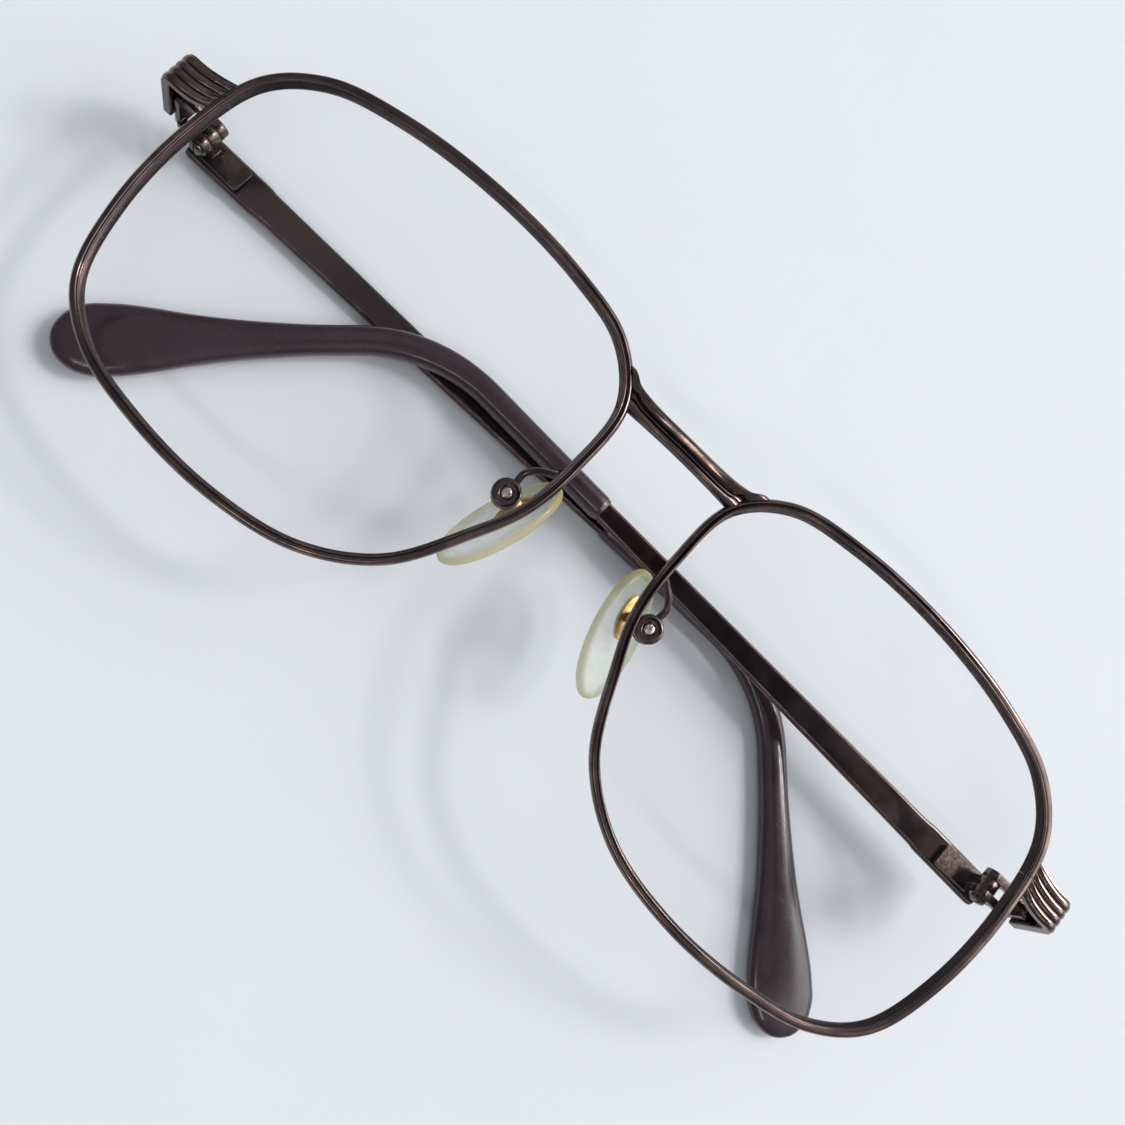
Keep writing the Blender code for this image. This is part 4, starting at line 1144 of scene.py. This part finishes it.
def build_core(name, side, matrix, look):
    """The dished plate in the pad, with a bent neck to the eye that the screw goes through."""
    axes = pad_axes(name)
    top = PAD_THICKNESS / 2
    back = top - CORE_THICKNESS
    rows = [
        (0.5, 0.2, back), (2.55, 1.22, back), (CORE_HALF_LENGTH, CORE_HALF_WIDTH, back + 0.1),
        (CORE_HALF_LENGTH, CORE_HALF_WIDTH, top - 0.12), (2.6, 1.25, top - 0.02),
        (1.9, 0.8, top - 0.02), (1.8, 0.7, top - 0.12), (0.5, 0.2, top - 0.12),
    ]
    rings = [oval_ring(axes, CORE_RISE, *row, CORE_STEPS) for row in rows]
    core = new_object(name + "_pad_heart", matrix, loft(rings), look, side)
    centre, lengthwise, _, facing = axes
    foot = centre + lengthwise * CORE_RISE + facing * (top - CORE_THICKNESS / 2)
    half, wide = LUG_HALF_THICKNESS, NECK_HALF_WIDTH
    edges = ((-wide, -half), (wide, -half), (wide, half), (-wide, half))
    neck = [
        [(0.2, a, b) for a, b in edges], [(-1.6, a, b) for a, b in edges],
        [(-2.0 - b, a, b - 0.7) for a, b in edges],
        [(foot.x - b, foot.y + a, foot.z) for a, b in edges],
    ]
    eye = turned([(-half, LUG_RADIUS), (half, LUG_RADIUS)], SCREW_STEPS, ORIGIN, Z)
    joined = [
        new_object("neck", matrix, loft(neck), look, side),
        new_object("eye", matrix, eye, look, side),
    ]
    combined(core, joined, "UNION")
    combined(core, [bore(matrix, look, side, ORIGIN, Z, PAD_BORE_RADIUS, 1.0)])
    soften(core, 0.05)
    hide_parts(name + "_pad_core")
    return core


# ---- stage

def build_floor():
    look = Look("pale_paper").set(Roughness=0.75)
    place = look.place()
    mottle = look.between(look.noise(place, 30.0, 3.0), 0.3, 0.7)
    look.feed("Base Color", look.blend(mottle, (0.8, 0.835, 0.88, 1.0), (0.815, 0.85, 0.89, 1.0)))
    look.bump(look.noise(place, 0.3, 2.0), 0.01, 0.4)
    half = FLOOR_HALF
    corner_points = [(-half, -half, 0), (half, -half, 0), (half, half, 0), (-half, half, 0)]
    mesh = bpy.data.meshes.new("floor")
    mesh.from_pydata(corner_points, [], [(0, 1, 2, 3)])
    mesh.materials.append(look.material)
    added("floor", mesh)


def add_lamp(name, towards, along, distance, size, power):
    """A long soft lamp: its length lies as near as it can to the direction along."""
    light = bpy.data.lights.new(name, "AREA")
    light.shape = "RECTANGLE"
    light.size, light.size_y = size
    light.energy = power
    light.color = LAMP_COLOUR
    made = added(name, light)
    back = Vector(towards).normalized()
    length = Vector(along)
    length = (length - back * length.dot(back)).normalized()
    turn = Matrix((length, back.cross(length), back)).transposed().to_4x4()
    turn.translation = back * distance
    made.matrix_world = turn
    made.visible_camera = False


def world_ramp(tree, value, stops):
    ramp = tree.nodes.new("ShaderNodeValToRGB")
    tree.links.new(value, ramp.inputs[0])
    elements = ramp.color_ramp.elements
    while len(elements) < len(stops):
        elements.new(0.5)
    for element, (position, colour) in zip(elements, stops):
        element.position = position
        element.color = (*colour, 1.0)
    return ramp.outputs[0]


def vector_maths(tree, operation, first, second=None):
    made = tree.nodes.new("ShaderNodeVectorMath")
    made.operation = operation
    tree.links.new(first, made.inputs[0])
    if isinstance(second, tuple):
        made.inputs[1].default_value = second
    elif second:
        tree.links.new(second, made.inputs[1])
    return made.outputs["Value" if operation in ("DOT_PRODUCT", "LENGTH") else "Vector"]


def build_world():
    """A pale room, brighter on one side, with a dark patch overhead that the metal mirrors."""
    world = bpy.data.worlds.new("room")
    bpy.context.scene.world = world
    world.use_nodes = True
    tree = world.node_tree
    spot = tree.nodes.new("ShaderNodeTexCoord").outputs["Generated"]
    walls = world_ramp(tree, vector_maths(tree, "DOT_PRODUCT", spot, ROOM_BRIGHT_SIDE), ROOM_WALLS)
    patch = tree.nodes.new("ShaderNodeMapping")
    patch.inputs["Scale"].default_value = (0.5 / PATCH_WIDTH, 0.5 / PATCH_DEPTH, 0.0)
    patch.inputs["Location"].default_value = (
        -0.5 * PATCH_X / PATCH_WIDTH, -0.5 * PATCH_Y / PATCH_DEPTH, 0.0
    )
    tree.links.new(spot, patch.inputs["Vector"])
    overhead = world_ramp(tree, vector_maths(tree, "LENGTH", patch.outputs[0]), ROOM_PATCH)
    background = tree.nodes["Background"]
    tree.links.new(vector_maths(tree, "MULTIPLY", walls, overhead), background.inputs["Color"])
    background.inputs["Strength"].default_value = ROOM_STRENGTH


def build_camera(front):
    turn = front.to_3x3().normalized()
    view = (turn @ CAMERA_VIEW).normalized()
    right = turn @ CAMERA_RIGHT
    right = (right - view * right.dot(view)).normalized()
    camera = bpy.data.cameras.new("camera")
    camera.lens = CAMERA_LENS
    camera.sensor_width = 36.0
    camera.clip_start = 0.005
    made = added("camera", camera)
    matrix = Matrix((right, right.cross(view), -view)).transposed().to_4x4()
    matrix.translation = front @ CAMERA_POINT
    made.matrix_world = matrix
    bpy.context.scene.camera = made


def clear_start():
    for old in list(bpy.data.objects):
        bpy.data.objects.remove(old)


def ride_all(pieces, body):
    for piece in pieces:
        flats = piece.modifiers.new("flats", "WEIGHTED_NORMAL")
        flats.keep_sharp = True
        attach(piece, body)


def main():
    clear_start()
    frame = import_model()
    frames = read_frames(frame)
    looks = make_looks()
    rim = rim_frames()
    front = frames["front"]
    metal = looks["gunmetal"]
    ride_all([build_bridge(rim, front, metal)], "front")
    for name, side in SIDES.items():
        ride_all([build_eyewire(name, side, rim, front, metal)], "front")
        ride_all([build_lens(name, side, rim, front, looks["lens"])], "front")
        ride_all([build_end_piece(name, side, frames["hinge"], metal)], "front")
        upper, lower, screw = build_closing_block(name, side, front, looks)
        ride_all([upper, lower], "front")
        ride_all([screw], "front")
        leaf, screw = build_front_hinge(name, side, frames[name + "_hinge"], looks)
        ride_all([leaf], "front")
        ride_all([screw], "front")
        arm, drum, screw = build_pad_mount(name, side, front, looks)
        ride_all([arm, drum], "front")
        ride_all([screw], "front")
        body = name + "_nose_pad_assembly"
        place = frames[name + "_pad"]
        ride_all([build_pad(name, side, place, looks["pad_silicone"])], body)
        ride_all([build_core(name, side, place, looks["pad_core_brass"])], body)
        body = name + "_temple"
        temple = frames[name + "_temple"]
        leaf = hinge_leaf(
            name + "_hinge_temple_leaf", name + "_side_knuckle",
            [(-KNUCKLE_HALF_GAP, KNUCKLE_HALF_GAP)], temple, looks["hinge_steel"],
        )
        ride_all([leaf], body)
        ride_all([build_bar(name, temple, metal)], body)
        ride_all([build_tip(name, temple, looks["tip_plastic"])], body)
    build_floor()
    build_world()
    for lamp in LAMPS:
        add_lamp(*lamp)
    bpy.context.scene.view_settings.view_transform = "Standard"
    build_camera(front)


main()
